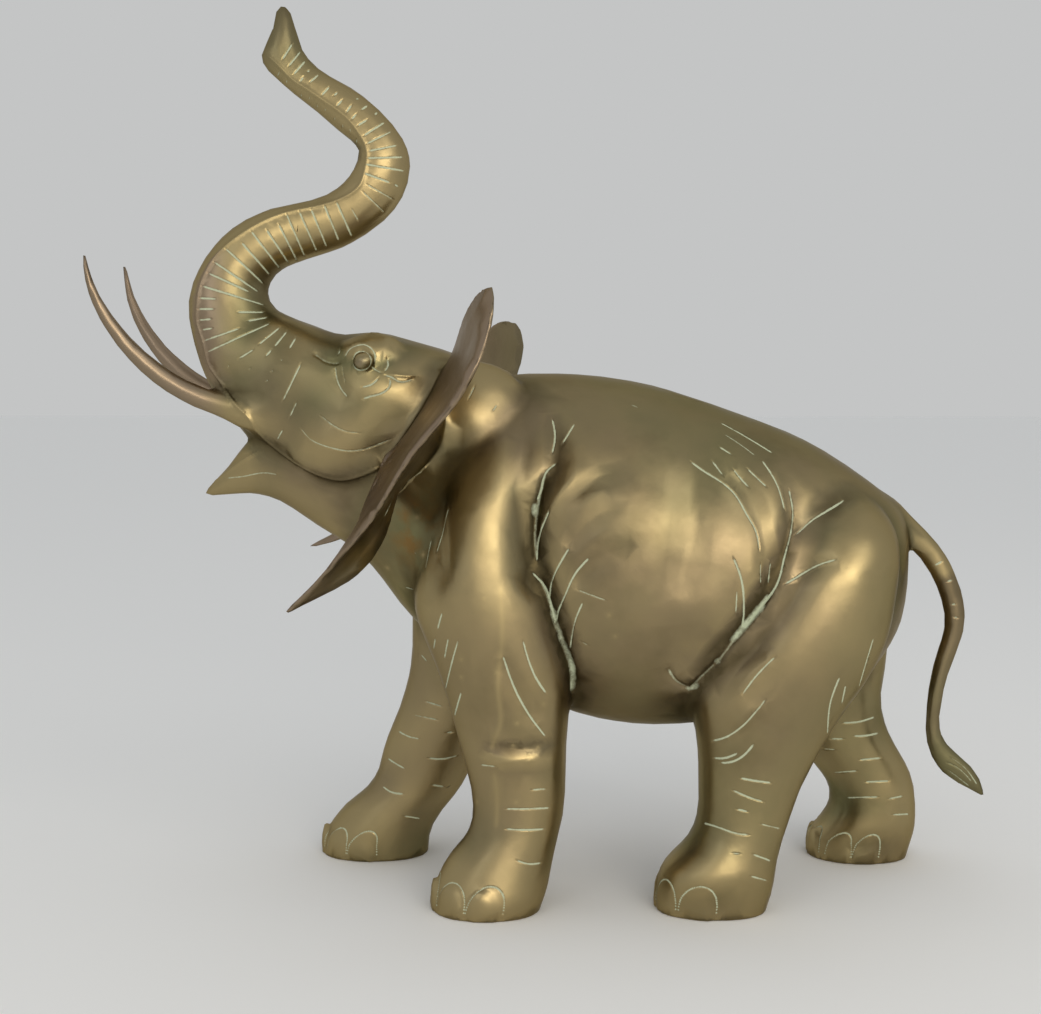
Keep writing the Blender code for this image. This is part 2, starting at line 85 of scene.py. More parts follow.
class Cut(Enum):
    """The kinds of line on the casting, in the order in which they are made."""

    SWELL = Tool(4.6, -1.9, 0.0, 0.0, 1.0)
    DENT = Tool(7.5, 1.9, 0.0, 0.0, 1.0)
    FOLD = Tool(3.8, 1.15, 0.0, 0.0, 1.0)
    CREASE = Tool(1.3, 0.9, 0.1, 0.62, 0.9)
    CRUST = Tool(1.2, 0.3, 0.0, 0.72, 1.9)
    RIDGE = Tool(0.85, -0.6, 0.0, 0.0, 1.0)
    CHASED = Tool(0.46, 0.42, 0.1, 1.0, 0.47)
    FAINT = Tool(0.42, 0.24, 0.06, 0.75, 0.4)
    DRIP = Tool(0.7, 0.0, 0.0, 1.0, 1.0, "drip")
    SPOT = Tool(0.7, 0.0, 0.0, 1.0, 1.0, "spot")


@dataclass(frozen=True)
class PhotoCamera:
    """The camera that took the photograph, and the rays of its pixels.

    Args:
        width: Width of the picture in pixels.
        focal: Focal length in pixels.
        centre: Pixel on the optical axis.
        place: Where the lens is, in millimetres.
        yaw: Turn to the left of +Y, in degrees.
        pitch: Tilt below the horizon, in degrees.
    """

    width: float = 1041.0
    focal: float = 1635.0
    centre: tuple[float, float] = (520.5, 507.0)
    place: tuple[float, float, float] = (10.22, -680.0, 205.0)
    yaw: float = 1.56
    pitch: float = 4.093

    def axes(self) -> np.ndarray:
        """Right, up and forward, as rows."""
        yaw, pitch = math.radians(self.yaw), math.radians(self.pitch)
        ahead = np.array([
            -math.sin(yaw) * math.cos(pitch),
            math.cos(yaw) * math.cos(pitch),
            -math.sin(pitch),
        ])
        right = np.array([math.cos(yaw), math.sin(yaw), 0.0])
        return np.stack([right, np.cross(right, ahead), ahead])

    def rays(self, pixels: np.ndarray) -> np.ndarray:
        """Directions from the lens through pixels of the photograph."""
        right, up, ahead = self.axes()
        across = (pixels[:, :1] - self.centre[0]) / self.focal
        down = (pixels[:, 1:2] - self.centre[1]) / self.focal
        rays = ahead + across * right - down * up
        return rays / np.linalg.norm(rays, axis=1)[:, None]

    def build(self) -> bpy.types.Object:
        """Make the camera of the scene."""
        lens = bpy.data.cameras.new("photo_camera")
        lens.sensor_fit = "HORIZONTAL"
        lens.sensor_width = 36.0
        lens.lens = lens.sensor_width * self.focal / self.width
        lens.clip_start, lens.clip_end = 0.01, 20.0
        camera = bpy.data.objects.new("photo_camera", lens)
        bpy.context.scene.collection.objects.link(camera)
        camera.location = Vector(self.place) * MM
        camera.rotation_mode = "QUATERNION"
        camera.rotation_quaternion = Vector(self.axes()[2]).to_track_quat("-Z", "Y")
        bpy.context.scene.camera = camera
        return camera


def spline(rows: Rows, spacing: float) -> np.ndarray:
    """Natural cubic through rows of numbers.

    Args:
        rows: The rows to pass through.
        spacing: About how far apart the points are.

    Returns:
        The points, one row each.
    """
    rows = np.array(rows, dtype=float)
    steps = np.maximum(np.linalg.norm(np.diff(rows, axis=0), axis=1), 0.5)
    at = np.concatenate([[0.0], np.cumsum(steps)])
    count = len(rows)
    system = np.eye(count)
    right = np.zeros_like(rows)
    for k in range(1, count - 1):
        system[k, k - 1] = steps[k - 1]
        system[k, k] = 2 * (steps[k - 1] + steps[k])
        system[k, k + 1] = steps[k]
        right[k] = 6 * ((rows[k + 1] - rows[k]) / steps[k] - (rows[k] - rows[k - 1]) / steps[k - 1])
    bend = np.linalg.solve(system, right)
    samples = np.linspace(0, at[-1], max(3, int(round(at[-1] / spacing)) + 1))
    span = np.clip(np.searchsorted(at, samples, side="right") - 1, 0, count - 2)
    width = steps[span][:, None]
    before = (at[span + 1] - samples)[:, None]
    after = (samples - at[span])[:, None]
    low, high = bend[span], bend[span + 1]
    return (
        low * before ** 3 / (6 * width)
        + high * after ** 3 / (6 * width)
        + (rows[span] / width - low * width / 6) * before
        + (rows[span + 1] / width - high * width / 6) * after
    )


def power(value: np.ndarray, exponent: float | np.ndarray) -> np.ndarray:
    """Signed power, which squares a circle off into a superellipse."""
    return np.sign(value) * np.abs(value) ** exponent


def loft(rings: Sequence[np.ndarray]) -> bmesh.types.BMesh:
    """Closed shell through rings of points.

    Args:
        rings: Rings with the same count of points, in millimetres.

    Returns:
        The shell, in metres.
    """
    shell = bmesh.new()
    loops = [[shell.verts.new(Vector(point) * MM) for point in ring] for ring in rings]
    sides = len(loops[0])
    for before, after in zip(loops, loops[1:]):
        for k in range(sides):
            n = (k + 1) % sides
            shell.faces.new((before[k], before[n], after[n], after[k]))
    for loop, ring in ((loops[0], rings[0]), (loops[-1], rings[-1])):
        middle = shell.verts.new(Vector(np.mean(ring, axis=0)) * MM)
        for k in range(sides):
            shell.faces.new((loop[k], loop[(k + 1) % sides], middle))
    bmesh.ops.recalc_face_normals(shell, faces=shell.faces)
    return shell


def upright_loft(stations: Rows, spacing: float, sides: int, keel_power: float) -> bmesh.types.BMesh:
    """Shell between a crown line and a keel line in the middle plane.

    Args:
        stations: Crown (x, z), keel (x, z), half width, level of the widest line
            between keel (0) and crown (1), and how square the crown is.
        spacing: Distance between rings.
        sides: Points in a ring.
        keel_power: How square the keel is; 2 is an ellipse.

    Returns:
        The shell.
    """
    rows = [(*crown, *keel, *shape) for crown, keel, *shape in stations]
    angle = np.linspace(0, 2 * math.pi, sides, endpoint=False)
    across, along = np.cos(angle), np.sin(angle)
    rings = []
    for crown_x, crown_z, keel_x, keel_z, half, level, crown_power in spline(rows, spacing):
        exponent = np.where(along < 0, 2 / keel_power, 2 / crown_power)
        middle_x = keel_x + (crown_x - keel_x) * level
        middle_z = keel_z + (crown_z - keel_z) * level
        reach_x = np.where(along < 0, middle_x - keel_x, crown_x - middle_x)
        reach_z = np.where(along < 0, middle_z - keel_z, crown_z - middle_z)
        rise = power(along, exponent)
        side = max(half, 0.4) * power(across, exponent)
        rings.append(np.stack([middle_x + reach_x * rise, side, middle_z + reach_z * rise], axis=1))
    return loft(rings)


def ball(centre: Sequence[float], radii: Sequence[float], side: int) -> bmesh.types.BMesh:
    """Ellipsoid shell.

    Args:
        centre: Its middle, with y counted outwards.
        radii: Its radii along X, Y and Z.
        side: LEFT or RIGHT.

    Returns:
        The shell.
    """
    shell = bmesh.new()
    bmesh.ops.create_uvsphere(shell, u_segments=28, v_segments=18, radius=1.0)
    middle = (centre[0], side * centre[1], centre[2])
    for vert in shell.verts:
        vert.co = Vector([middle[k] + vert.co[k] * radii[k] for k in range(3)]) * MM
    return shell


def search_tree(points: np.ndarray) -> KDTree:
    """Search tree of some points."""
    tree = KDTree(len(points))
    for k, point in enumerate(points):
        tree.insert(point, k)
    tree.balance()
    return tree


def close_to(points: np.ndarray, marks: np.ndarray, reach: float) -> np.ndarray:
    """Which points may lie within reach of any mark.

    Args:
        points: The points.
        marks: The marks.
        reach: The distance.

    Returns:
        Places of those points in the list, with some that are a little further off.
    """
    grid = np.array([1, 4096, 4096 * 4096])
    offsets = np.array([(a, b, c) for a in (-1, 0, 1) for b in (-1, 0, 1) for c in (-1, 0, 1)])
    cells = (np.floor(marks[:, None] / reach).astype(int) + offsets + 1000) @ grid
    return np.flatnonzero(np.isin((np.floor(points / reach).astype(int) + 1000) @ grid, np.unique(cells)))


def add_node(
    tree: bpy.types.NodeTree,
    kind: str,
    settings: dict[str, object] | None = None,
    values: dict[str | int, object] | None = None,
    links: dict[str | int, bpy.types.NodeSocket] | None = None,
) -> bpy.types.Node:
    """Add a node to a tree, with its settings and links.

    Args:
        tree: Shader or geometry tree.
        kind: Blender's name of the node.
        settings: Values of the node's own properties.
        values: Values of unlinked sockets, by name or place.
        links: Sockets that feed the node's sockets, by name or place.

    Returns:
        The node.
    """
    node = tree.nodes.new(kind)
    for name, value in (settings or {}).items():
        setattr(node, name, value)
    for name, value in (values or {}).items():
        node.inputs[name].default_value = value
    for name, source in (links or {}).items():
        tree.links.new(source, node.inputs[name])
    return node


def colour(code: str) -> tuple[float, float, float, float]:
    """Linear colour of an sRGB hex code such as 8c7a52."""
    channels = [int(code[k:k + 2], 16) / 255 for k in (0, 2, 4)]
    linear = [c / 12.92 if c <= 0.04045 else ((c + 0.055) / 1.055) ** 2.4 for c in channels]
    return (*linear, 1.0)


@dataclass
class Skin:
    """A mesh object that is shaped step by step.

    Args:
        piece: The object.
    """

    piece: bpy.types.Object

    @staticmethod
    def of(name: str, shells: Iterable[bmesh.types.BMesh]) -> "Skin":
        """Make one object of several closed shells.

        Args:
            name: Name of the object.
            shells: The shells, which are freed.

        Returns:
            The skin.
        """
        whole = bmesh.new()
        for shell in shells:
            part = bpy.data.meshes.new(name)
            shell.to_mesh(part)
            shell.free()
            whole.from_mesh(part)
            bpy.data.meshes.remove(part)
        mesh = bpy.data.meshes.new(name)
        whole.to_mesh(mesh)
        whole.free()
        piece = bpy.data.objects.new(name, mesh)
        bpy.context.scene.collection.objects.link(piece)
        return Skin(piece)

    def settle(self, kind: str, **settings: object) -> None:
        """Add a modifier and keep its result as the object's own mesh.

        Args:
            kind: Blender's name of the modifier.
            settings: Its properties; a key that starts with Socket_ is a tree's input.
        """
        modifier = self.piece.modifiers.new(kind.title(), kind)
        for key, value in settings.items():
            if key.startswith("Socket_"):
                modifier[key] = value
            else:
                setattr(modifier, key, value)
        self.piece.update_tag()
        bpy.context.view_layer.update()
        graph = bpy.context.evaluated_depsgraph_get()
        shaped = bpy.data.meshes.new_from_object(self.piece.evaluated_get(graph))
        self.piece.modifiers.clear()
        old, self.piece.data = self.piece.data, shaped
        bpy.data.meshes.remove(old)

    def take(self, other: "Skin") -> None:
        """Add another skin's shells to this one, and remove the other."""
        whole = bmesh.new()
        whole.from_mesh(self.piece.data)
        whole.from_mesh(other.piece.data)
        whole.to_mesh(self.piece.data)
        whole.free()
        bpy.data.objects.remove(other.piece)

    def points(self) -> np.ndarray:
        """Vertex places in millimetres."""
        flat = np.empty(len(self.piece.data.vertices) * 3, dtype=np.float32)
        self.piece.data.vertices.foreach_get("co", flat)
        return flat.reshape(-1, 3).astype(float) / MM

    def normals(self) -> np.ndarray:
        """Vertex normals."""
        flat = np.empty(len(self.piece.data.vertices) * 3, dtype=np.float32)
        self.piece.data.vertex_normals.foreach_get("vector", flat)
        return flat.reshape(-1, 3).astype(float)

    def move(self, points: np.ndarray) -> None:
        """Put the vertices at places given in millimetres."""
        self.piece.data.vertices.foreach_set("co", (points * MM).astype(np.float32).ravel())
        self.piece.data.update()

    def averager(self) -> Callable[[np.ndarray], np.ndarray]:
        """Function that averages rows of numbers over each vertex's neighbours."""
        edges = np.empty(len(self.piece.data.edges) * 2, dtype=np.int32)
        self.piece.data.edges.foreach_get("vertices", edges)
        edges = edges.reshape(-1, 2)
        count = len(self.piece.data.vertices)
        near = np.maximum(np.bincount(edges.ravel(), minlength=count), 1)

        def average(rows: np.ndarray) -> np.ndarray:
            """Average the rows over the neighbours."""
            total = [
                np.bincount(edges[:, 0], weights=rows[edges[:, 1], k], minlength=count)
                + np.bincount(edges[:, 1], weights=rows[edges[:, 0], k], minlength=count)
                for k in range(rows.shape[1])
            ]
            return np.stack(total, axis=1) / near[:, None]

        return average

    def relax(self, weight: Callable[[np.ndarray], np.ndarray], rounds: int) -> None:
        """Smooth the skin without shrinking it.

        Args:
            weight: How freely each place may be smoothed, 0 to 1.
            rounds: How often.
        """
        average = self.averager()
        points = self.points()
        strength = weight(points)[:, None]
        for turn in range(2 * rounds):
            factor = 0.55 if turn % 2 == 0 else -0.5
            points = points + factor * strength * (average(points) - points)
        self.move(points)

    def refine(self, marks: np.ndarray, reach: float) -> None:
        """Split the faces near some places in four.

        Args:
            marks: The places, in millimetres.
            reach: How near, in millimetres.
        """
        search = search_tree(marks)
        points = self.points()
        chosen = {k for k in close_to(points, marks, reach * 2).tolist() if search.find(points[k])[2] < reach}
        mesh = bmesh.new()
        mesh.from_mesh(self.piece.data)
        edges = [edge for edge in mesh.edges if edge.verts[0].index in chosen and edge.verts[1].index in chosen]
        bmesh.ops.subdivide_edges(mesh, edges=edges, cuts=1, use_grid_fill=True)
        mesh.to_mesh(self.piece.data)
        mesh.free()

    def cut_level(self) -> None:
        """Cut off what is below the floor, and close the soles."""
        mesh = bmesh.new()
        mesh.from_mesh(self.piece.data)
        everything = [*mesh.verts, *mesh.edges, *mesh.faces]
        cut = bmesh.ops.bisect_plane(
            mesh, geom=everything, dist=1e-7, plane_co=(0, 0, 0), plane_no=(0, 0, 1), clear_inner=True
        )
        rims = [part for part in cut["geom_cut"] if isinstance(part, bmesh.types.BMEdge)]
        soles = bmesh.ops.holes_fill(mesh, edges=rims, sides=0)["faces"]
        bmesh.ops.triangulate(mesh, faces=soles)
        bmesh.ops.recalc_face_normals(mesh, faces=mesh.faces)
        open_edges = sum(len(edge.link_faces) != 2 for edge in mesh.edges)
        logging.info("cut at the floor: %d open edges", open_edges)
        mesh.to_mesh(self.piece.data)
        mesh.free()

    def tree(self) -> BVHTree:
        """Search tree of the skin, in metres."""
        return BVHTree.FromObject(self.piece, bpy.context.evaluated_depsgraph_get())

    def paint(self, name: str, amount: np.ndarray) -> None:
        """Keep a number for each vertex as an attribute.

        Args:
            name: Name of the attribute.
            amount: The numbers.
        """
        layer = self.piece.data.attributes.new(name, "FLOAT", "POINT")
        layer.data.foreach_set("value", amount.astype(np.float32))


@dataclass
class SweptShape:
    """Limbs that follow a path, such as the tusks and the tail, made by one node tree.

    Args:
        sides: Points round a limb.
        metal: Material that the tree gives to what it makes.
    """

    sides: int
    metal: bpy.types.Material

    def tree(self) -> tuple[bpy.types.NodeTree, dict[str, str]]:
        """Build the tree, and name its inputs.

        Returns:
            The tree, and the identifier of each input.
        """
        tree = bpy.data.node_groups.new("swept_limb", "GeometryNodeTree")
        face = tree.interface
        face.new_socket("Path", in_out="INPUT", socket_type="NodeSocketGeometry")
        sides = face.new_socket("Sides", in_out="INPUT", socket_type="NodeSocketInt")
        metal = face.new_socket("Metal", in_out="INPUT", socket_type="NodeSocketMaterial")
        face.new_socket("Limb", in_out="OUTPUT", socket_type="NodeSocketGeometry")
        start = add_node(tree, "NodeGroupInput")
        thick = add_node(tree, "GeometryNodeInputNamedAttribute", {"data_type": "FLOAT"}, {"Name": "thick"})
        flat = add_node(tree, "GeometryNodeInputNamedAttribute", {"data_type": "FLOAT"}, {"Name": "flat"})
        path = add_node(tree, "GeometryNodeMeshToCurve", links={"Mesh": start.outputs["Path"]})
        ring = add_node(
            tree, "GeometryNodeCurvePrimitiveCircle", values={"Radius": 1.0},
            links={"Resolution": start.outputs["Sides"]},
        )
        tube = add_node(
            tree, "GeometryNodeCurveToMesh", values={"Fill Caps": True},
            links={"Curve": path.outputs["Curve"], "Profile Curve": ring.outputs["Curve"]},
        )
        if "Scale" in tube.inputs:
            tree.links.new(thick.outputs["Attribute"], tube.inputs["Scale"])
        else:
            sized = add_node(
                tree, "GeometryNodeSetCurveRadius",
                links={"Curve": path.outputs["Curve"], "Radius": thick.outputs["Attribute"]},
            )
            tree.links.new(sized.outputs["Curve"], tube.inputs["Curve"])
        place = add_node(tree, "GeometryNodeInputPosition")
        factor = add_node(
            tree, "ShaderNodeCombineXYZ", values={"X": 1.0, "Z": 1.0}, links={"Y": flat.outputs["Attribute"]}
        )
        flatter = add_node(
            tree, "ShaderNodeVectorMath", {"operation": "MULTIPLY"},
            links={0: place.outputs["Position"], 1: factor.outputs["Vector"]},
        )
        shaped = add_node(
            tree, "GeometryNodeSetPosition",
            links={"Geometry": tube.outputs["Mesh"], "Position": flatter.outputs["Vector"]},
        )
        real = add_node(tree, "GeometryNodeRealizeInstances", links={"Geometry": shaped.outputs["Geometry"]})
        made = add_node(
            tree, "GeometryNodeSetMaterial",
            links={"Geometry": real.outputs["Geometry"], "Material": start.outputs["Metal"]},
        )
        add_node(tree, "NodeGroupOutput", links={"Limb": made.outputs["Geometry"]})
        return tree, {"Sides": sides.identifier, "Metal": metal.identifier}

    def sweep(self, name: str, stations: Rows, side: int) -> Skin:
        """Make one limb.

        Args:
            name: Name of the object.
            stations: x, y counted outwards, z, half thickness upright and across.
            side: LEFT or RIGHT.

        Returns:
            The limb, as a closed skin.
        """
        rows = spline([(x, side * y, z, high, wide) for x, y, z, high, wide in stations], 1.6)
        mesh = bpy.data.meshes.new(name)
        pairs = [(k, k + 1) for k in range(len(rows) - 1)]
        mesh.from_pydata([Vector(row[:3]) * MM for row in rows], pairs, [])
        high, wide = np.maximum(rows[:, 3], 0.3), np.maximum(rows[:, 4], 0.3)
        limb = Skin(bpy.data.objects.new(name, mesh))
        bpy.context.scene.collection.objects.link(limb.piece)
        limb.paint("thick", high * MM)
        limb.paint("flat", wide / high)
        tree, names = self.tree()
        limb.settle("NODES", node_group=tree, **{names["Sides"]: self.sides, names["Metal"]: self.metal})
        welded = bmesh.new()
        welded.from_mesh(limb.piece.data)
        bmesh.ops.remove_doubles(welded, verts=welded.verts, dist=0.00002)
        bmesh.ops.recalc_face_normals(welded, faces=welded.faces)
        welded.to_mesh(limb.piece.data)
        welded.free()
        return limb


@dataclass(frozen=True)
class Leg:
    """One leg, with its toenails and the rings of its skin.

    Args:
        name: What the leg is called.
        stations: Height, front x, back x, inner |y| and outer |y|.
        side: LEFT or RIGHT.
        nail_angles: Where the nails sit, in degrees from straight ahead, outwards.
        ring_heights: Heights of the short rings on the faces that the photograph hides.
        hidden: First and last angle of those faces, in degrees from straight ahead.
        nail_radii: Radii of a nail.
        nail_lift: Height of its middle.
        nail_inset: Share of the foot's radius at which it sits.
    """

    name: str
    stations: tuple
    side: int
    nail_angles: tuple[float, ...]
    ring_heights: tuple[float, ...]
    hidden: tuple[float, float]
    nail_radii: tuple[float, float, float] = (2.0, 6.4, 9.0)
    nail_lift: float = 3.0
    nail_inset: float = 0.95

    def shell(self) -> bmesh.types.BMesh:
        """The leg itself, as rings one above the other."""
        angle = np.linspace(0, 2 * math.pi, 48, endpoint=False)
        across, along = power(np.cos(angle), 2 / 2.3), power(np.sin(angle), 2 / 2.3)
        rings = []
        for height, front, back, inner, outer in spline(self.stations, 3.0):
            x = (front + back) / 2 + (back - front) / 2 * across
            y = (inner + outer) / 2 + (outer - inner) / 2 * along
            rings.append(np.stack([x, self.side * y, np.full(len(angle), height)], axis=1))
        return loft(rings)

    def around(self, height: float, degrees: float, share: float) -> tuple[Vector, Vector]:
        """Place round the leg and the direction out of its axis.

        Args:
            height: Height in millimetres.
            degrees: Angle from straight ahead, counted outwards.
            share: Share of the radius.

        Returns:
            The place in millimetres, and the direction.
        """
        table = np.array(self.stations, dtype=float)
        front, back, inner, outer = (np.interp(height, table[:, 0], table[:, k]) for k in range(1, 5))
        turn = math.radians(degrees)
        out = Vector((-(back - front) / 2 * math.cos(turn), self.side * (outer - inner) / 2 * math.sin(turn), 0))
        middle = Vector(((front + back) / 2, self.side * (inner + outer) / 2, height))
        return middle + out * share, out.normalized()

    def nails(self) -> list[bmesh.types.BMesh]:
        """Rounded toenails round the front of the foot."""
        shells = []
        for degrees in self.nail_angles:
            place, out = self.around(0, degrees, self.nail_inset)
            nail = ball((0, 0, 0), self.nail_radii, RIGHT)
            turn = math.radians(degrees) * -self.side
            for vert in nail.verts:
                x, y, z = vert.co
                vert.co = Vector((
                    x * math.cos(turn) - y * math.sin(turn),
                    x * math.sin(turn) + y * math.cos(turn),
                    z + self.nail_lift * MM,
                )) + place * MM
            shells.append(nail)
        return shells

    def nail_lines(self) -> list[np.ndarray]:
        """Rays towards the arch that is chased round each nail.

        Returns:
            For each nail, rows of a start and a direction, in millimetres.
        """
        lines = []
        spread = min(19.5, 0.48 * min(np.diff(self.nail_angles)))
        for degrees in self.nail_angles:
            rays = []
            for share in np.linspace(0, 1, 40):
                turn = math.pi * share
                swing = -math.cos(turn) * spread
                height = 1.2 + 12.2 * math.sin(turn) ** 0.75
                place, out = self.around(height, degrees + swing, 2.2)
                rays.append((*place, *(-out)))
            lines.append(np.array(rays))
        return lines

    def ring_lines(self, random: np.random.Generator) -> list[np.ndarray]:
        """Rays towards the short rings on the hidden faces.

        Args:
            random: Seeded source of the small differences between rings.

        Returns:
            For each ring, rows of a start and a direction, in millimetres.
        """
        lines = []
        first, last = self.hidden
        for height in self.ring_heights:
            begin = first + random.uniform(0, 0.35) * (last - first)
            end = begin + random.uniform(0.25, 0.6) * (last - first)
            tilt = random.uniform(-2.5, 2.5)
            rays = []
            for share in np.linspace(0, 1, 60):
                place, out = self.around(height + tilt * share, begin + (end - begin) * share, 2.4)
                rays.append((*place, *(-out)))
            lines.append(np.array(rays))
        return lines


@dataclass(frozen=True)
class Ear:
    """One ear, a thick sheet stretched between its four edges.

    Args:
        name: What the ear is called.
        side: LEFT or RIGHT.
        root: Edge along the head, as (x, |y|, z).
        rim: Outer edge.
        top: Upper edge.
        low: Lower edge.
        thickness: Thickness at mid width.
        bulge: How far the sheet swells forwards.
        heel: How much thicker the root is behind.
    """

    name: str
    side: int
    root: tuple
    rim: tuple
    top: tuple
    low: tuple
    thickness: float = 2.4
    bulge: float = 12.5
    heel: float = 15.0

    @staticmethod
    def edge(line: tuple, where: np.ndarray) -> np.ndarray:
        """Points at given shares of the length of an edge."""
        line = spline(line, 1.0)
        length = np.concatenate([[0.0], np.cumsum(np.linalg.norm(np.diff(line, axis=0), axis=1))])
        return np.stack([np.interp(where * length[-1], length, line[:, k]) for k in range(3)], axis=1)

    def faces(self, spacing: float) -> tuple[np.ndarray, np.ndarray]:
        """Back and front grids of points.

        Args:
            spacing: About how far apart the points are.

        Returns:
            The two grids, in millimetres.
        """
        v = np.linspace(0, 1, int(round(150 / spacing)) + 1)
        u = np.linspace(0, 1, int(round(84 / spacing)) + 1)
        root, rim = self.edge(self.root, v), self.edge(self.rim, v)
        top, low = self.edge(self.top, u), self.edge(self.low, u)
        uu, vv = u[None, :, None], v[:, None, None]
        sheet = (
            (1 - uu) * root[:, None] + uu * rim[:, None]
            + (1 - vv) * top[None] + vv * low[None]
            - (1 - uu) * (1 - vv) * root[0] - uu * (1 - vv) * rim[0]
            - (1 - uu) * vv * root[-1] - uu * vv * rim[-1]
        )
        sheet[:, :, 0:1] -= self.bulge * np.sin(math.pi * uu ** 0.8) * np.sin(math.pi * vv ** 2.6)
        normal = np.cross(np.gradient(sheet, axis=0), np.gradient(sheet, axis=1))
        normal /= np.maximum(np.linalg.norm(normal, axis=2), 1e-9)[:, :, None]
        thick = self.thickness / 2 * (1.5 - 0.9 * uu)
        back = sheet + normal * thick
        back[:, :, 0:1] += self.heel * (1 - uu) ** 1.6 * np.sin(math.pi * np.clip((vv - 0.3) / 0.75, 0, 1))
        mirror = np.array([1.0, self.side, 1.0])
        return back * mirror, (sheet - normal * thick) * mirror

    def shell(self, spacing: float) -> bmesh.types.BMesh:
        """The ear as a closed shell."""
        shell = bmesh.new()
        back, front = (
            [[shell.verts.new(Vector(point) * MM) for point in row] for row in grid]
            for grid in self.faces(spacing)
        )
        down, out = len(back) - 1, len(back[0]) - 1
        for r in range(down):
            for c in range(out):
                shell.faces.new((front[r][c], front[r][c + 1], front[r + 1][c + 1], front[r + 1][c]))
                shell.faces.new((back[r][c], back[r + 1][c], back[r + 1][c + 1], back[r][c + 1]))
        border = [(0, c) for c in range(out + 1)] + [(r, out) for r in range(1, down + 1)]
        border += [(down, c) for c in range(out - 1, -1, -1)] + [(r, 0) for r in range(down - 1, 0, -1)]
        for (r, c), (s, d) in zip(border, border[1:] + border[:1]):
            shell.faces.new((front[r][c], back[r][c], back[s][d], front[s][d]))
        bmesh.ops.recalc_face_normals(shell, faces=shell.faces)
        return shell


# The build of the body.
# A station of the torso or head: crown (x, z), keel (x, z), half width, level of
# the widest line between keel (0) and crown (1), and how square the crown is (2 is
# an ellipse).
TORSO = [
    ((151.2, 138), (151, 123), 4, 0.5, 2.2),
    ((150.8, 150.5), (148.4, 107.5), 15, 0.5, 2.2),
    ((146, 158.8), (141, 95), 28, 0.48, 2.2),
    ((132, 170.2), (129, 83), 44, 0.46, 2.2),
    ((108, 185), (104, 74), 54, 0.46, 2.2),
    ((80, 196), (76, 69), 57, 0.46, 2.2),
    ((50, 206), (50, 66.5), 58, 0.45, 2.2),
    ((22, 211), (26, 68.5), 56, 0.45, 2.2),
    ((0, 212), (4, 75), 51, 0.46, 2.2),
    ((-19, 211), (-30, 92), 44, 0.48, 2.2),
    ((-33, 213), (-55.8, 113.2), 38, 0.5, 2.2),
    ((-46, 216), (-69.8, 131.4), 33, 0.52, 2.2),
    ((-58, 216), (-87, 146), 28, 0.55, 2.2),
    ((-70, 212), (-99, 152.5), 22, 0.55, 2.2),
]
HEAD = [
    ((-22, 207), (-32, 184), 18, 0.5, 2.2),
    ((-31, 217.5), (-41, 179), 27, 0.5, 2.4),
    ((-46, 223.4), (-52, 175), 34.5, 0.5, 2.6),
    ((-58, 226.8), (-63, 171), 37, 0.48, 2.6),
    ((-69.5, 228.9), (-77, 170.5), 36.5, 0.46, 2.6),
    ((-82, 228), (-92, 174), 33, 0.46, 2.6),
    ((-93, 231.3), (-108, 181.7), 28.5, 0.46, 2.6),
    ((-101, 234.2), (-120.6, 185.2), 24.5, 0.46, 2.6),
    ((-105.2, 236), (-128.2, 194.6), 22.4, 0.46, 2.6),
]
TRUNK = [
    ((-108.6, 237.6), (-136.4, 206), 20.4, 0.45, 2.1),
    ((-112.6, 242), (-142.6, 222), 18.4, 0.44, 2.1),
    ((-112.8, 248.4), (-145.3, 241), 16.4, 0.42, 2.1),
    ((-108.4, 254.2), (-139.8, 256.8), 15, 0.4, 2.1),
    ((-101, 257.6), (-129, 269.8), 14, 0.4, 2.1),
    ((-91.8, 260.6), (-111.6, 279.2), 12.6, 0.4, 2.1),
    ((-80.3, 264.6), (-93.2, 283.4), 11.2, 0.4, 2.1),
    ((-67.6, 272.4), (-82, 289), 10.8, 0.4, 2.1),
    ((-57, 284.4), (-76, 297), 10.8, 0.4, 2.1),
    ((-54, 301), (-75.1, 304.3), 10.4, 0.4, 2.1),
    ((-62.5, 315.8), (-81.6, 310.2), 9.4, 0.4, 2.1),
    ((-77.6, 328.6), (-92.2, 319.2), 8.4, 0.42, 2.1),
    ((-89.5, 335.4), (-102.2, 327), 7.8, 0.44, 2.1),
    ((-96.8, 342.4), (-110, 333.8), 7.5, 0.46, 2.1),
    ((-98.9, 347.8), (-114.6, 340.6), 7.2, 0.48, 2.1),
    ((-100.2, 352), (-112.5, 346.4), 6.6, 0.5, 2.1),
    ((-101.7, 356.6), (-109.6, 353.4), 5.4, 0.5, 2.1),
    ((-103.4, 361), (-108.4, 359.4), 3.6, 0.5, 2.1),
    ((-105.6, 362.8), (-106.8, 362.4), 1.4, 0.5, 2.1),
]
JAW = [
    ((-84, 184), (-80, 141), 25, 0.5, 2.2),
    ((-100, 186), (-96, 151), 22, 0.5, 2.2),
    ((-112, 187), (-109, 159), 17, 0.5, 2.2),
    ((-120.6, 184.6), (-118, 161.6), 13, 0.55, 2.2),
    ((-129, 174.8), (-126.5, 161.6), 9, 0.6, 2.2),
    ((-136, 167.4), (-134.5, 161), 5.4, 0.6, 2.2),
    ((-141.3, 162.2), (-140.8, 160.6), 1.6, 0.6, 2.2),
]

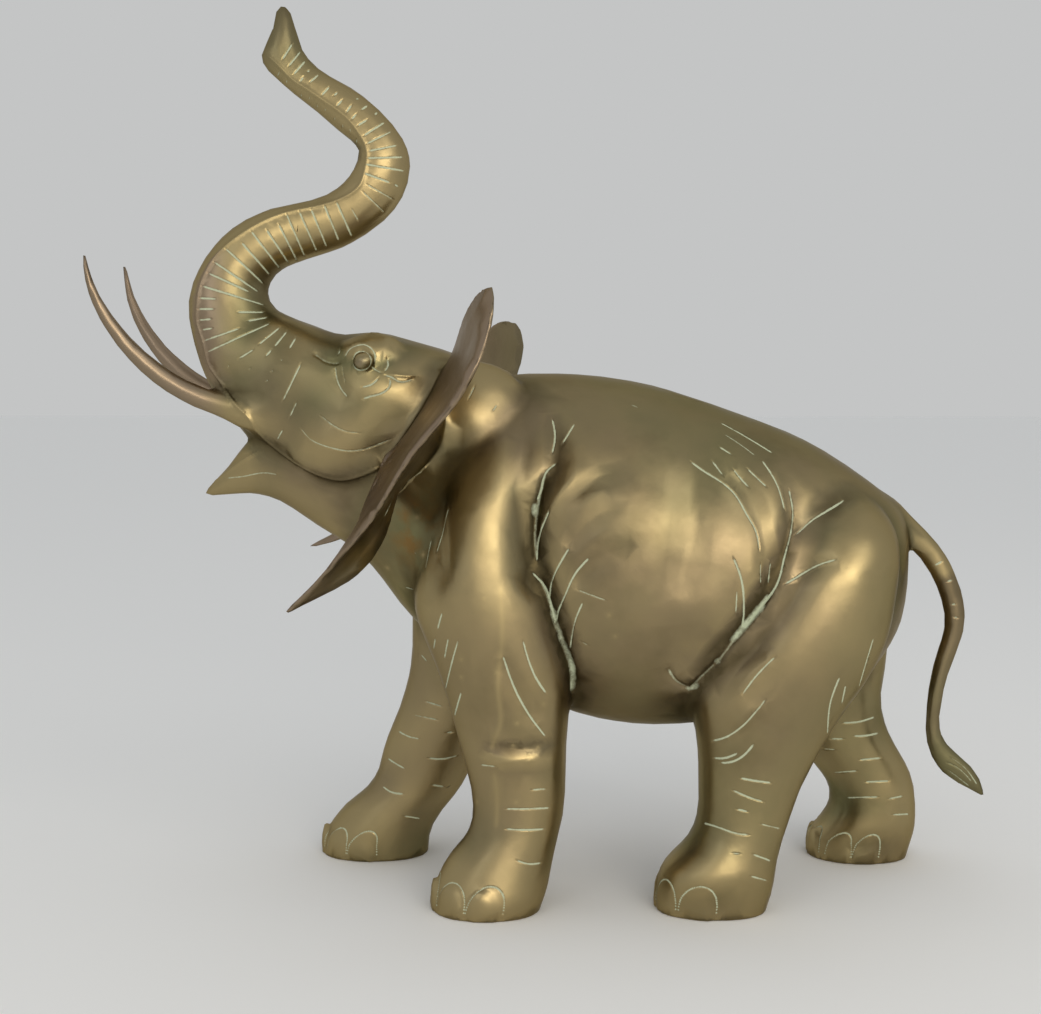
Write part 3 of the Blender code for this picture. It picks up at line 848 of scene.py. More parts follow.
# A station of a leg: height, front x, back x, inner |y|, outer |y|.
NEAR_FORELEG = [
    (-8, -42, 0, 21, 60.5),
    (0, -42.2, 0.8, 21, 62),
    (6, -41.6, 3, 20.5, 62),
    (13.3, -39.4, 4.6, 20.5, 60.5),
    (21, -34.6, 6.2, 20, 58.5),
    (28, -28.8, 7.8, 19.5, 56.8),
    (36, -26.4, 9.6, 19, 55.5),
    (54, -28.7, 10.8, 18, 55),
    (72, -33.6, 11.6, 16, 55.5),
    (88, -38.3, 13, 12, 57),
    (102, -43.8, 12, 6, 58),
    (121, -50, 8, 0, 58.5),
    (140, -46, 1, -4, 56.5),
    (162, -41, 0, -4, 51.5),
    (180, -33, 4, -4, 44.5),
    (194, -22, 3, -4, 35),
]
FAR_FORELEG = [
    (-8, -97, -50.5, 18, 57),
    (0, -97.4, -50.6, 18, 58),
    (7, -96.4, -50, 17.5, 58.5),
    (14, -92.7, -47, 17.5, 58),
    (20.5, -87.2, -42.5, 18, 56.5),
    (28, -78.2, -36.6, 18, 55),
    (36.6, -72.6, -31.8, 18, 54.5),
    (46, -70.1, -27.5, 17.5, 54),
    (62, -64, -20.5, 16, 54),
    (81, -58.2, -12, 14, 55),
    (99, -56.6, -4, 8, 56.5),
    (120, -55, 2, 0, 57),
    (140, -48, 1, -4, 56),
    (162, -41, 0, -4, 51),
    (180, -33, 4, -4, 44),
    (194, -22, 3, -4, 35),
]
NEAR_HINDLEG = [
    (-8, 47, 89, 21, 57),
    (0, 46.6, 90.4, 21, 57.8),
    (8, 46.8, 92.8, 20.5, 58.6),
    (15.3, 48.7, 93.8, 20, 59.5),
    (21, 53.4, 94.8, 20, 58.5),
    (27, 59.4, 96.4, 19.5, 57),
    (34, 62.6, 98.8, 19, 56),
    (47, 63.6, 103.4, 18, 55.5),
    (62, 63.2, 110.8, 16, 56),
    (75, 61.4, 118.5, 12, 57.5),
    (89, 60.6, 128.6, 5, 59.5),
    (105, 72, 137, 0, 61),
    (126, 87, 141.5, -4, 60),
    (147, 97, 142, -4, 54.5),
    (159, 102, 136, -4, 42),
    (167, 107, 128, -4, 27),
]
FAR_HINDLEG = [
    (-8, 118.6, 160.5, 20, 57),
    (0, 118.6, 161.6, 20, 58),
    (9, 119.6, 164.2, 19, 58.5),
    (16, 124.4, 165, 17.5, 57.5),
    (22.8, 127.8, 164.9, 18, 56),
    (32, 126.6, 163.8, 18, 55),
    (40, 120.8, 161, 18, 54.5),
    (50, 114, 155.2, 17, 54.5),
    (60, 109, 150.6, 16, 55),
    (70, 104, 148.7, 14, 56),
    (84, 96, 149.8, 9, 58),
    (100, 89, 150.5, 3, 60),
    (116, 86, 150.5, 0, 60.5),
    (132, 91, 149, -4, 58.5),
    (147, 97, 146, -4, 54),
    (159, 102, 137, -4, 42),
    (167, 107, 128, -4, 27),
]

# A station of a tusk or of the tail: x, y, z, half thickness along z, along y.
TUSK = [
    (-96, 20, 188, 8.5, 8.5),
    (-108, 19.8, 192, 7.8, 7.8),
    (-119, 19.8, 195.5, 6.2, 6.2),
    (-128, 20, 198.7, 4.9, 4.9),
    (-137, 20.8, 201.8, 4.4, 4.4),
    (-146, 22, 206.2, 4, 4),
    (-154.4, 23.2, 212, 3.8, 3.8),
    (-163, 24.8, 220, 3.3, 3.3),
    (-170, 26.4, 228.8, 2.8, 2.8),
    (-175.4, 28, 238, 2.2, 2.2),
    (-179, 29.4, 247.6, 1.5, 1.5),
    (-181, 30, 258.4, 0.7, 0.7),
]
TAIL = [
    (136, 0, 157.5, 8, 11),
    (144, 0, 153.6, 6.8, 8.5),
    (151.8, 0, 147.4, 5.4, 6.2),
    (159.6, 0, 140.2, 4.7, 4.8),
    (165.6, 0, 132, 4.6, 4.6),
    (169.9, 0, 122.6, 4.4, 4.4),
    (172.2, 0, 113.5, 4.2, 4.2),
    (171.9, 0, 104.6, 3.9, 3.9),
    (169.2, 0, 95.6, 3.6, 3.6),
    (166.4, 0, 85.6, 3.2, 3.2),
    (164.7, 0, 75.8, 2.9, 2.9),
    (164, 0, 66.6, 2.8, 2.7),
    (165.2, 0, 59, 3.4, 2.8),
    (169.4, 0, 51.6, 4.5, 3),
    (175, 0, 46.4, 4.8, 2.8),
    (180.8, 0, 41.4, 3.4, 2),
    (185.6, 0, 35.6, 0.5, 0.5),
]

# Rounded masses that stand out of the lofts: centre (x, |y|, z) and radii.
BROW = ((-67, 23, 219.2), (14, 11, 9))
CHEEK = ((-78, 22, 185), (24, 15.5, 15))
NECK = ((-28, 22, 190), (27, 18, 27))
EYEBALL = ((-69.3, 34.2, 216.2), (4.2, 3.2, 3.8))

# A fold in the flank: half width, depth (negative stands out), and its line of
# (x, z) places as seen from the side.
FOLDS = [
    (4.2, 2.6, [(5, 196), (7, 185), (5.5, 174), (0, 162), (-1, 150), (0, 138), (4.5, 126), (9.5, 112), (14, 98)]),
    (4.6, 3.2, [(95, 172), (97.5, 161), (96, 148), (91, 134), (82, 120), (71, 107), (60, 94)]),
    (4.6, 1.3, [(128, 168), (117, 163), (107, 158), (98, 151)]),
    (3.0, -1.3, [(8, 62.4), (-8, 62), (-22, 62.5)]),
    (2.6, 1.2, [(8, 66.6), (-8, 66.2), (-23, 66.6)]),
]


LEGS = (
    Leg(
        name="left_foreleg",
        stations=NEAR_FORELEG,
        side=LEFT,
        nail_angles=(-72, -32, 8, 48, 88),
        ring_heights=(20, 31, 42, 52, 62),
        hidden=(-175, -40),
    ),
    Leg(
        name="right_foreleg",
        stations=FAR_FORELEG,
        side=RIGHT,
        nail_angles=(-79, -45, -5, 35, 75),
        ring_heights=(18, 32, 46, 58, 72, 86, 100),
        hidden=(15, 175),
    ),
    Leg(
        name="left_hindleg",
        stations=NEAR_HINDLEG,
        side=LEFT,
        nail_angles=(-55, -13, 29, 71),
        ring_heights=(22, 36, 48, 58),
        hidden=(-175, -40),
    ),
    Leg(
        name="right_hindleg",
        stations=FAR_HINDLEG,
        side=RIGHT,
        nail_angles=(-90, -58, -18, 22, 62),
        ring_heights=(22, 36, 50, 62, 76, 92),
        hidden=(15, 175),
    ),
)
EARS = (
    Ear(
        name="left_ear",
        side=LEFT,
        root=(
            (-33, 26, 219), (-40, 29, 207), (-48, 31, 191), (-57, 31, 177), (-63, 30, 167),
        ),
        rim=(
            (-15.6, 103, 241), (-15.2, 110, 232.6), (-19.6, 114, 215), (-30.5, 113, 197),
            (-43.5, 108, 182), (-53.5, 101, 167), (-61.5, 94, 155.5), (-72.5, 86, 143.5),
            (-83, 80, 132.3), (-94.4, 75.6, 121.8),
        ),
        top=(
            (-33, 26, 219), (-29.4, 48, 227), (-25.2, 69, 234.8), (-19.6, 88, 240.4), (-15.6, 103, 241),
        ),
        low=(
            (-63, 30, 167), (-60, 44, 156), (-62, 54, 146), (-69.2, 62, 135.2), (-80.6, 69, 128.4),
            (-94.4, 75.6, 121.8),
        ),
    ),
    Ear(
        name="right_ear",
        side=RIGHT,
        root=(
            (-33, 26, 219), (-40, 29, 207), (-48, 31, 191), (-57, 31, 177), (-63, 30, 167),
        ),
        rim=(
            (-13.4, 101, 236.6), (-10.6, 108, 230), (-12.6, 112, 215), (-20, 112, 200), (-32, 108, 185),
            (-45, 102, 171), (-58, 95, 159), (-73, 88, 149), (-91, 82, 140.6), (-109, 77, 132),
        ),
        top=(
            (-33, 26, 219), (-29, 48, 225), (-24, 68, 232.4), (-18.5, 86, 237), (-13.4, 101, 236.6),
        ),
        low=(
            (-63, 30, 167), (-61, 44, 159), (-66, 54, 152.5), (-77, 62, 144.8), (-92, 70, 137.2),
            (-109, 77, 132),
        ),
    ),
)


# Chased lines and folds, as places in the photograph in pixels. The camera's rays
# carry them onto the metal. Those of HEAD, TRUNK and FLANK are on both sides.
TRUNK_LINES: dict[Cut, tuple[Line, ...]] = {
    Cut.RIDGE: (
        (
            (267, 55), (279, 66), (293, 80), (307, 89), (320, 98), (336, 109), (348, 119), (360, 135),
            (366, 147), (367, 158), (365, 170), (360, 185), (345, 197), (323, 205), (285, 213),
            (251, 228), (223, 249), (213, 260), (206, 272), (200, 287), (197, 308), (197, 322),
            (200, 333), (204, 346), (208, 363), (223, 386), (234, 403), (246, 415), (256, 429),
            (272, 445), (291, 459), (315, 471), (342, 478), (364, 473), (380, 467), (392, 461),
        ),
    ),
    Cut.CHASED: (
        ((336, 201), (352, 237)), ((324, 205), (339, 241)), ((311, 209), (327, 248)),
        ((299, 211), (317, 252)), ((286, 213), (305, 257)), ((278, 223), (297, 261)),
        ((266, 229), (289, 264)), ((251, 231), (280, 269)), ((241, 242), (270, 275)),
        ((225, 248), (264, 284)), ((214, 262), (259, 292)), ((208, 273), (250, 292)),
        ((202, 286), (265, 305)), ((199, 298), (217, 299)), ((198, 309), (215, 309)),
        ((237, 312), (265, 312)), ((198, 320), (212, 319)), ((247, 321), (268, 317)),
        ((201, 330), (213, 328)), ((203, 341), (240, 328)), ((207, 352), (270, 323)),
        ((238, 359), (254, 349)), ((258, 345), (280, 327)), ((265, 357), (272, 349)),
        ((274, 347), (287, 331)), ((289, 349), (296, 337)),
        ((282, 60), (293, 43)), ((288, 67), (301, 51)), ((293, 75), (306, 60)), ((299, 83), (304, 76)),
        ((307, 72), (310, 70)), ((309, 83), (319, 74)), ((321, 96), (330, 86)), ((333, 96), (338, 92)),
        ((336, 107), (343, 99)), ((346, 113), (352, 104)), ((356, 99), (359, 98)),
        ((351, 120), (357, 113)), ((361, 110), (368, 105)), ((357, 126), (368, 119)),
        ((374, 115), (378, 112)), ((363, 136), (385, 122)), ((366, 144), (392, 131)),
        ((368, 151), (398, 145)), ((367, 158), (404, 157)), ((365, 164), (405, 171)),
        ((364, 173), (391, 183)), ((394, 184), (399, 187)),
    ),
    Cut.FAINT: (
        ((366, 184), (394, 200)), ((362, 191), (385, 213)), ((351, 208), (359, 222)),
        ((280, 70), (277, 77)), ((287, 79), (286, 84)), ((301, 92), (301, 98)), ((309, 94), (309, 101)),
        ((317, 103), (317, 109)), ((325, 107), (325, 113)), ((335, 115), (334, 122)),
        ((343, 123), (342, 129)), ((350, 127), (350, 133)), ((357, 138), (356, 144)),
        ((282, 359), (281, 361)), ((273, 370), (271, 372)), ((268, 380), (266, 381)),
        ((229, 365), (228, 367)), ((251, 368), (249, 369)),
    ),
}
HEAD_LINES: dict[Cut, tuple[Line, ...]] = {
    Cut.SWELL: (((286, 446), (303, 459), (322, 468), (345, 472), (368, 467), (390, 457)),),
    Cut.CREASE: (((311, 351), (319, 356), (325, 360), (333, 362), (342, 361)),),
    Cut.FOLD: (
        ((344, 346), (350, 340), (358, 336), (367, 336), (377, 340), (385, 348)),
        ((335, 365), (336, 379), (342, 391), (350, 399)),
        ((292, 464), (315, 484), (345, 491), (375, 483)),
    ),
    Cut.CHASED: (
        ((282, 402), (301, 363)), ((289, 418), (297, 401)), ((277, 440), (283, 429)),
        ((344, 358), (349, 349), (357, 345), (364, 344), (371, 348), (375, 355), (375, 364)),
        ((353, 361), (355, 354), (362, 351), (369, 354), (371.5, 361), (369, 367.5), (362, 370.5), (355, 368), (353, 361)),
        ((340, 348), (337, 356)), ((335, 365), (336, 379), (341, 390), (347, 397)),
        ((371, 366), (376, 370), (382, 373)), ((387, 358), (388, 365), (384, 372)),
        ((384, 375), (393, 378), (398, 381), (413, 379)), ((379, 377), (372, 384), (361, 387)),
        ((389, 377), (390, 384), (382, 393), (372, 396), (362, 399)),
    ),
    Cut.FAINT: (
        ((342, 364), (343, 375), (345, 384)),
        ((320, 415), (331, 424), (345, 431), (361, 433)),
        ((300, 427), (310, 439), (328, 447), (351, 451), (371, 447), (391, 439)),
        ((278, 475), (263, 473), (246, 476), (226, 478)),
    ),
    Cut.RIDGE: (
        ((261, 450), (247, 458), (230, 470), (213, 484)), ((390, 374), (404, 376), (416, 376)),
    ),
}
FLANK_LINES: dict[Cut, tuple[Line, ...]] = {
    Cut.DENT: (
        ((688, 395), (692, 450), (694, 500), (688, 556), (676, 600)),
        ((706, 620), (688, 650), (664, 672)),
    ),
    Cut.FOLD: (
        ((630, 466), (602, 476), (580, 490), (562, 512), (550, 536)),
        ((616, 500), (596, 516), (578, 532), (566, 550)),
        ((640, 545), (612, 552), (588, 570), (572, 590)),
        ((441, 492), (440, 540), (443, 585)), ((731, 470), (752, 500), (766, 540), (764, 580)),
        ((514, 575), (530, 586), (542, 600)), ((845, 499), (825, 511), (808, 523), (793, 536)),
        ((840, 560), (816, 567), (794, 581)),
    ),
    Cut.CRUST: (
        ((552, 606), (560, 636), (571, 662), (573, 694)), ((766, 602), (748, 622), (728, 646)),
        ((722, 656), (712, 668)), ((700, 682), (690, 689), (683, 687)), ((535, 500), (534, 520)),
    ),
    Cut.CREASE: (
        ((546, 473), (541, 490), (537, 512), (535, 540), (537, 562)),
        ((538, 575), (546, 592), (552, 610), (557, 626)),
        ((560, 628), (566, 654), (573, 676), (572, 696)),
        ((770, 592), (755, 612), (738, 634), (719, 660), (703, 676), (690, 690)),
        ((668, 668), (674, 680), (690, 689)),
    ),
    Cut.CHASED: (
        ((552, 418), (555, 437), (552, 454)), ((575, 423), (562, 444)),
        ((557, 463), (546, 473), (542, 487), (537, 501)), ((549, 510), (542, 527), (537, 546), (537, 562)),
        ((532, 572), (544, 586), (551, 605), (556, 624)),
        ((569, 548), (558, 567), (551, 584), (549, 600)),
        ((589, 558), (575, 574), (565, 595), (556, 619), (555, 626)), ((583, 602), (575, 621), (570, 650)),
        ((789, 489), (793, 516), (790, 537), (784, 559), (777, 584), (762, 605), (743, 630)),
        ((845, 499), (825, 511), (808, 523), (795, 535)), ((837, 559), (816, 565), (794, 579), (784, 584)),
        ((762, 460), (777, 484), (785, 511)),
        ((692, 459), (708, 472), (722, 482), (736, 495), (747, 514), (756, 530), (760, 551)),
        ((712, 459), (724, 476)), ((733, 468), (750, 487)), ((719, 446), (733, 455)), ((747, 468), (767, 487)),
        ((720, 422), (740, 433), (773, 453)), ((733, 557), (741, 578), (744, 601), (743, 629)),
        ((448, 508), (440, 532), (435, 553)), ((431, 539), (425, 569)),
    ),
    Cut.FAINT: (
        ((475, 385), (468, 400)), ((498, 404), (492, 412)), ((404, 587), (418, 591)), ((413, 550), (417, 557)),
        ((723, 433), (740, 444), (756, 456)), ((737, 590), (736, 615)), ((762, 562), (761, 585)),
        ((772, 562), (768, 585)), ((577, 590), (607, 601)), ((630, 404), (640, 408)), ((580, 641), (589, 646)),
        ((424, 470), (410, 480), (397, 491)), ((396, 491), (389, 508), (384, 518)),
    ),
}
NEAR_LEG_LINES: dict[Cut, tuple[Line, ...]] = {
    Cut.FOLD: (
        ((768, 640), (742, 664), (718, 700)), ((503, 656), (516, 690), (540, 725)),
        ((776, 668), (760, 692), (748, 705)), ((768, 712), (752, 728), (728, 742)),
    ),
    Cut.CHASED: (
        ((776, 656), (757, 675), (742, 695)), ((766, 699), (752, 717), (737, 731), (724, 738), (712, 741)),
        ((754, 744), (743, 756), (731, 762), (720, 763)), ((713, 758), (725, 758), (738, 753)),
        ((874, 638), (859, 688)), ((840, 677), (831, 702), (828, 734)), ((846, 685), (842, 705)),
        ((740, 778), (756, 781), (772, 783)), ((732, 790), (748, 797), (764, 802)), ((736, 809), (749, 812)),
        ((703, 823), (714, 826), (739, 834), (750, 835)), ((760, 824), (781, 829)),
        ((731, 853), (741, 854)), ((752, 854), (771, 861)), ((750, 876), (768, 881)),
        ((442, 612), (437, 630)), ((435, 638), (433, 650)), ((448, 638), (444, 659)),
        ((458, 640), (452, 661), (445, 689)), ((461, 692), (454, 716)),
        ((503, 656), (513, 685), (530, 716), (546, 737)), ((523, 640), (529, 661), (539, 683), (547, 694)),
        ((531, 790), (547, 789)), ((505, 809), (526, 809), (550, 808)), ((505, 829), (526, 830), (545, 829)),
        ((516, 860), (529, 864), (542, 863)), ((480, 765), (497, 767)),
    ),
}
STAIN_LINES: dict[Cut, tuple[Line, ...]] = {
    Cut.DRIP: (
        ((500, 586), (501, 654), (498, 692), (500, 725), (493, 744), (491, 751)),
        ((494, 772), (497, 800), (496, 829)),
    ),
    Cut.SPOT: tuple(
        ((x - 2, y), (x, y + 1), (x + 2, y))
        for x, y in (
            (417, 516), (423, 554), (387, 567), (497, 671), (461, 676), (517, 722), (513, 744), (538, 746),
            (532, 756), (544, 703), (429, 608), (461, 658), (484, 597), (477, 801), (516, 801),
            (609, 614), (615, 635), (461, 518), (437, 555),
        )
    ),
}
FAR_LEG_LINES: dict[Cut, tuple[Line, ...]] = {
    Cut.CHASED: (
        ((420, 654), (427, 662)), ((424, 701), (443, 707)), ((413, 715), (438, 720)),
        ((398, 731), (407, 736), (420, 739)), ((445, 733), (454, 732)), ((428, 758), (443, 759), (459, 755)),
        ((387, 758), (396, 764), (405, 769)), ((382, 786), (391, 792), (404, 794)), ((431, 785), (445, 787)),
        ((403, 816), (421, 819)), ((842, 723), (858, 722), (875, 717)), ((830, 739), (845, 739)),
        ((853, 736), (863, 736), (879, 733)), ((823, 749), (836, 750)), ((859, 760), (882, 758)),
        ((833, 773), (858, 771)), ((865, 782), (890, 781)), ((846, 798), (879, 797)), ((888, 799), (904, 796)),
        ((892, 815), (910, 814)),
    ),
}
TAIL_LINES: dict[Cut, tuple[Line, ...]] = {
    Cut.CHASED: (((934, 566), (943, 561)), ((946, 582), (953, 580)), ((951, 605), (956, 604)), ((953, 617), (959, 618))),
    Cut.FAINT: (
        ((946, 762), (958, 768), (972, 782)), ((950, 757), (963, 766), (978, 786)),
        ((945, 768), (956, 776), (970, 787)),
    ),
}


def onto(rays: np.ndarray, tree: BVHTree) -> list[np.ndarray]:
    """Follow rays to the metal.

    Args:
        rays: Rows of a start and a direction, in millimetres.
        tree: Search tree of the skin.

    Returns:
        Runs of points in millimetres with their normals; a line that passes over
        an edge falls into several runs.
    """
    runs: list[list[tuple[float, ...]]] = [[]]
    for ray in rays:
        place, normal, _, _ = tree.ray_cast(Vector(ray[:3]) * MM, Vector(ray[3:]))
        if place is None or normal.dot(Vector(ray[3:])) > -0.08:
            runs.append([])
            continue
        place = place / MM
        if runs[-1] and (Vector(runs[-1][-1][:3]) - place).length > 5.0:
            runs.append([])
        runs[-1].append((*place, *normal))
    return [np.array(run) for run in runs if len(run) > 2]


def from_photo(camera: PhotoCamera, line: Line, side: int, tree: BVHTree) -> list[np.ndarray]:
    """Carry one line of the photograph onto the metal.

    Args:
        camera: The camera that took it.
        line: The line in pixels.
        side: LEFT as seen, or RIGHT for its mirror image on the other flank.
        tree: Search tree of the skin.

    Returns:
        Runs of points with their normals.
    """
    aim = camera.rays(spline(line, 0.8))
    start = np.array(camera.place)
    mirror = np.array([1.0, -side, 1.0])
    return onto(np.hstack([np.broadcast_to(start * mirror, aim.shape), aim * mirror]), tree)


@dataclass
class Chaser:
    """Cuts lines into a skin and remembers what has dried in them.

    Args:
        skin: The skin that is cut.
    """

    skin: Skin

    def __post_init__(self) -> None:
        """Start with nothing in the lines and nothing that needs fine faces."""
        self.places = self.skin.points()
        self.calm = self.skin.normals()
        count = len(self.places)
        self.groove = np.zeros(count)
        self.layers = {name: np.zeros(count) for name in ("deposit", "drip", "spot")}
        self.detail = np.zeros(count)

    def cut(self, kind: Cut, runs: list[np.ndarray]) -> None:
        """Cut runs of points into the skin with one tool.

        Args:
            kind: The tool.
            runs: Points with their normals.
        """
        if not runs:
            return
        tool = kind.value
        marks, fades = [], []
        for run in runs:
            length = np.concatenate([[0.0], np.cumsum(np.linalg.norm(np.diff(run[:, :3], axis=0), axis=1))])
            taper = min(1.0 + tool.half * 1.2, length[-1] / 2.2)
            edge = np.minimum(length, length[-1] - length) / max(taper, 0.1)
            marks.append(run)
            fades.append(np.clip(edge, 0.12, 1) ** 0.6)
        marks, fades = np.concatenate(marks), np.concatenate(fades)
        search = search_tree(marks[:, :3])
        points, normals = self.skin.points(), self.skin.normals()
        if kind is Cut.CHASED:
            self.calm = normals.copy()
        reach = max(tool.half * 3.2, tool.spread * 2.6)
        for index in close_to(self.places, marks[:, :3], reach):
            _, k, gap = search.find(self.places[index])
            if gap > reach or normals[index] @ marks[k, 3:] < 0.1:
                continue
            share = fades[k]
            profile = math.exp(-((gap / tool.half) ** 2))
            burr = math.exp(-(((gap - 1.9 * tool.half) / (0.7 * tool.half)) ** 2))
            points[index] -= normals[index] * share * (tool.depth * profile - tool.lip * burr)
            layer = self.layers[tool.layer]
            layer[index] = max(layer[index], share * tool.amount * math.exp(-((gap / tool.spread) ** 2)))
            if kind in (Cut.CHASED, Cut.FAINT):
                wall = min(max(2.6 - 2 * gap / tool.half, 0.0), 1.0)
                self.groove[index] = max(self.groove[index], wall)
            if tool.half < 2:
                self.detail[index] = max(self.detail[index], math.exp(-((gap / (tool.half + 0.9)) ** 2)))
        self.skin.move(points)

    def shading(self) -> np.ndarray:
        """Normals of the calm skin, and of the cut skin inside the narrow lines."""
        share = self.groove[:, None]
        mixed = self.skin.normals() * share + self.calm * (1 - share)
        return mixed / np.linalg.norm(mixed, axis=1)[:, None]


@dataclass(frozen=True)
class AgedBrass:
    """Cast yellow brass, filed and rubbed satin, then left to brown for decades.

    Rubbed swellings keep a warm satin gleam, hollows go dark olive brown, partly as
    patina and partly as painted shade, the undersides carry painted shade, and pale
    grey-green deposit stays in the lines, where no cloth reaches.

    Args:
        bright: Where hands have rubbed it.
        brown: Its common patina.
        dark_patina_and_shade: In the hollows.
        olive: Greener patches.
        red: The redder castings of the ears and tusks.
        purple: Heat-stained patch under the belly.
        orange: Rubbed-through patch on the chest.
        pale: The dried deposit.
        edge: Tint where the eye grazes the metal.
        satin: Roughness of the metal.
        patch: Size of the patches, in millimetres.
        veil: Size of the browner clouds, in millimetres.
        mottle: Size of the mottling, in millimetres.
        grain: Size of the casting grain, in millimetres, coarser than life so that it shows.
    """

    bright: str = "a8966c"
    brown: str = "86775b"
    dark_patina_and_shade: str = "49402a"
    olive: str = "7b7653"
    red: str = "96836f"
    purple: str = "4f413a"
    orange: str = "896739"
    pale: str = "c3cbae"
    edge: str = "cfc8ba"
    satin: float = 0.34
    patch: float = 38.0
    veil: float = 22.0
    mottle: float = 7.0
    grain: float = 0.9

    def build(self) -> bpy.types.Material:
        """Make the material."""
        material = bpy.data.materials.new("aged_cast_brass")
        material.use_nodes = True
        tree = material.node_tree
        tree.nodes.clear()
        place = add_node(tree, "ShaderNodeTexCoord").outputs["Object"]

        def attribute(name: str) -> bpy.types.NodeSocket:
            """Number kept on the vertices."""
            return add_node(tree, "ShaderNodeAttribute", {"attribute_name": name}).outputs["Fac"]

        def noise(size: float, detail: float, rough: float) -> bpy.types.NodeSocket:
            """Cloudy pattern whose spots are about so many millimetres wide."""
            values = {"Scale": 0.5 / (size * MM), "Detail": detail, "Roughness": rough}
            return add_node(tree, "ShaderNodeTexNoise", values=values, links={"Vector": place}).outputs["Fac"]

        def ramp(source: bpy.types.NodeSocket, low: float, high: float) -> bpy.types.NodeSocket:
            """Stretch a pattern so that low becomes 0 and high becomes 1."""
            values = {"From Min": low, "From Max": high}
            return add_node(tree, "ShaderNodeMapRange", values=values, links={"Value": source}).outputs["Result"]

        def times(first: bpy.types.NodeSocket, second: bpy.types.NodeSocket | float) -> bpy.types.NodeSocket:
            """Product of two numbers."""
            node = add_node(tree, "ShaderNodeMath", {"operation": "MULTIPLY"}, links={0: first})
            if isinstance(second, float):
                node.inputs[1].default_value = second
            else:
                tree.links.new(second, node.inputs[1])
            return node.outputs["Value"]

        def plus(first: bpy.types.NodeSocket, second: bpy.types.NodeSocket) -> bpy.types.NodeSocket:
            """Sum of two numbers."""
            settings = {"operation": "ADD"}
            return add_node(tree, "ShaderNodeMath", settings, links={0: first, 1: second}).outputs["Value"]

        def over(base: bpy.types.NodeSocket | str, top: str, share: bpy.types.NodeSocket) -> bpy.types.NodeSocket:
            """Lay a colour over another."""
            node = add_node(
                tree, "ShaderNodeMix", {"data_type": "RGBA", "clamp_factor": True},
                {7: colour(top)}, {"Factor": share},
            )
            if isinstance(base, str):
                node.inputs[6].default_value = colour(base)
            else:
                tree.links.new(base, node.inputs[6])
            return node.outputs[2]

        patches, mottle = noise(self.patch, 3.0, 0.5), noise(self.mottle, 4.0, 0.6)
        hollowness_for_patina_and_shade, worn = attribute("hollowness_for_patina_and_shade"), attribute("worn")
        blush, deposit = attribute("blush"), attribute("deposit")
        shade = over(self.brown, self.olive, ramp(patches, 0.42, 0.66))
        shade = over(shade, self.dark_patina_and_shade, times(ramp(noise(self.veil, 4.0, 0.62), 0.5, 0.72), 0.42))
        shade = over(shade, self.bright, times(ramp(plus(worn, times(mottle, 0.35)), 0.25, 1.1), 0.85))
        shade = over(shade, self.red, blush)
        shade = over(shade, self.purple, times(attribute("heat"), ramp(patches, 0.25, 0.5)))
        shade = over(shade, self.orange, times(attribute("rub"), ramp(mottle, 0.42, 0.6)))
        # Painted shade: the hollows and the undersides turn dark, partly as real patina in the hollows.
        shade = over(shade, self.dark_patina_and_shade, times(ramp(plus(hollowness_for_patina_and_shade, times(mottle, 0.3)), 0.2, 1.05), 0.85))
        crust = ramp(times(deposit, plus(noise(1.3, 3.0, 0.7), noise(11.0, 1.0, 0.5))), 0.42, 0.78)
        shade = over(shade, self.bright, times(attribute("drip"), 0.7))
        shade = over(shade, self.bright, times(attribute("spot"), 0.75))
        shade = over(shade, self.pale, times(crust, 0.9))

        rough = add_node(
            tree, "ShaderNodeMapRange",
            values={"From Min": 0.3, "From Max": 0.7, "To Min": self.satin - 0.05, "To Max": self.satin + 0.09},
            links={"Value": mottle},
        ).outputs["Result"]
        rough = plus(rough, times(crust, 0.4))
        rough = plus(rough, times(hollowness_for_patina_and_shade, 0.12))
        metal = add_node(
            tree, "ShaderNodeMapRange", values={"To Min": 1.0, "To Max": 0.1}, links={"Value": crust}
        ).outputs["Result"]

        height = plus(times(noise(self.grain, 2.0, 0.6), 0.035), times(noise(9.0, 2.0, 0.5), 0.5))
        height = plus(height, times(crust, 0.12))
        bump = add_node(
            tree, "ShaderNodeBump", values={"Strength": 1.0, "Distance": 0.5 * MM}, links={"Height": height}
        )
        shader = add_node(
            tree, "ShaderNodeBsdfPrincipled", values={"Specular Tint": colour(self.edge)},
            links={"Base Color": shade, "Roughness": rough, "Metallic": metal, "Normal": bump.outputs["Normal"]},
        )
        add_node(tree, "ShaderNodeOutputMaterial", links={"Surface": shader.outputs["BSDF"]})
        return material


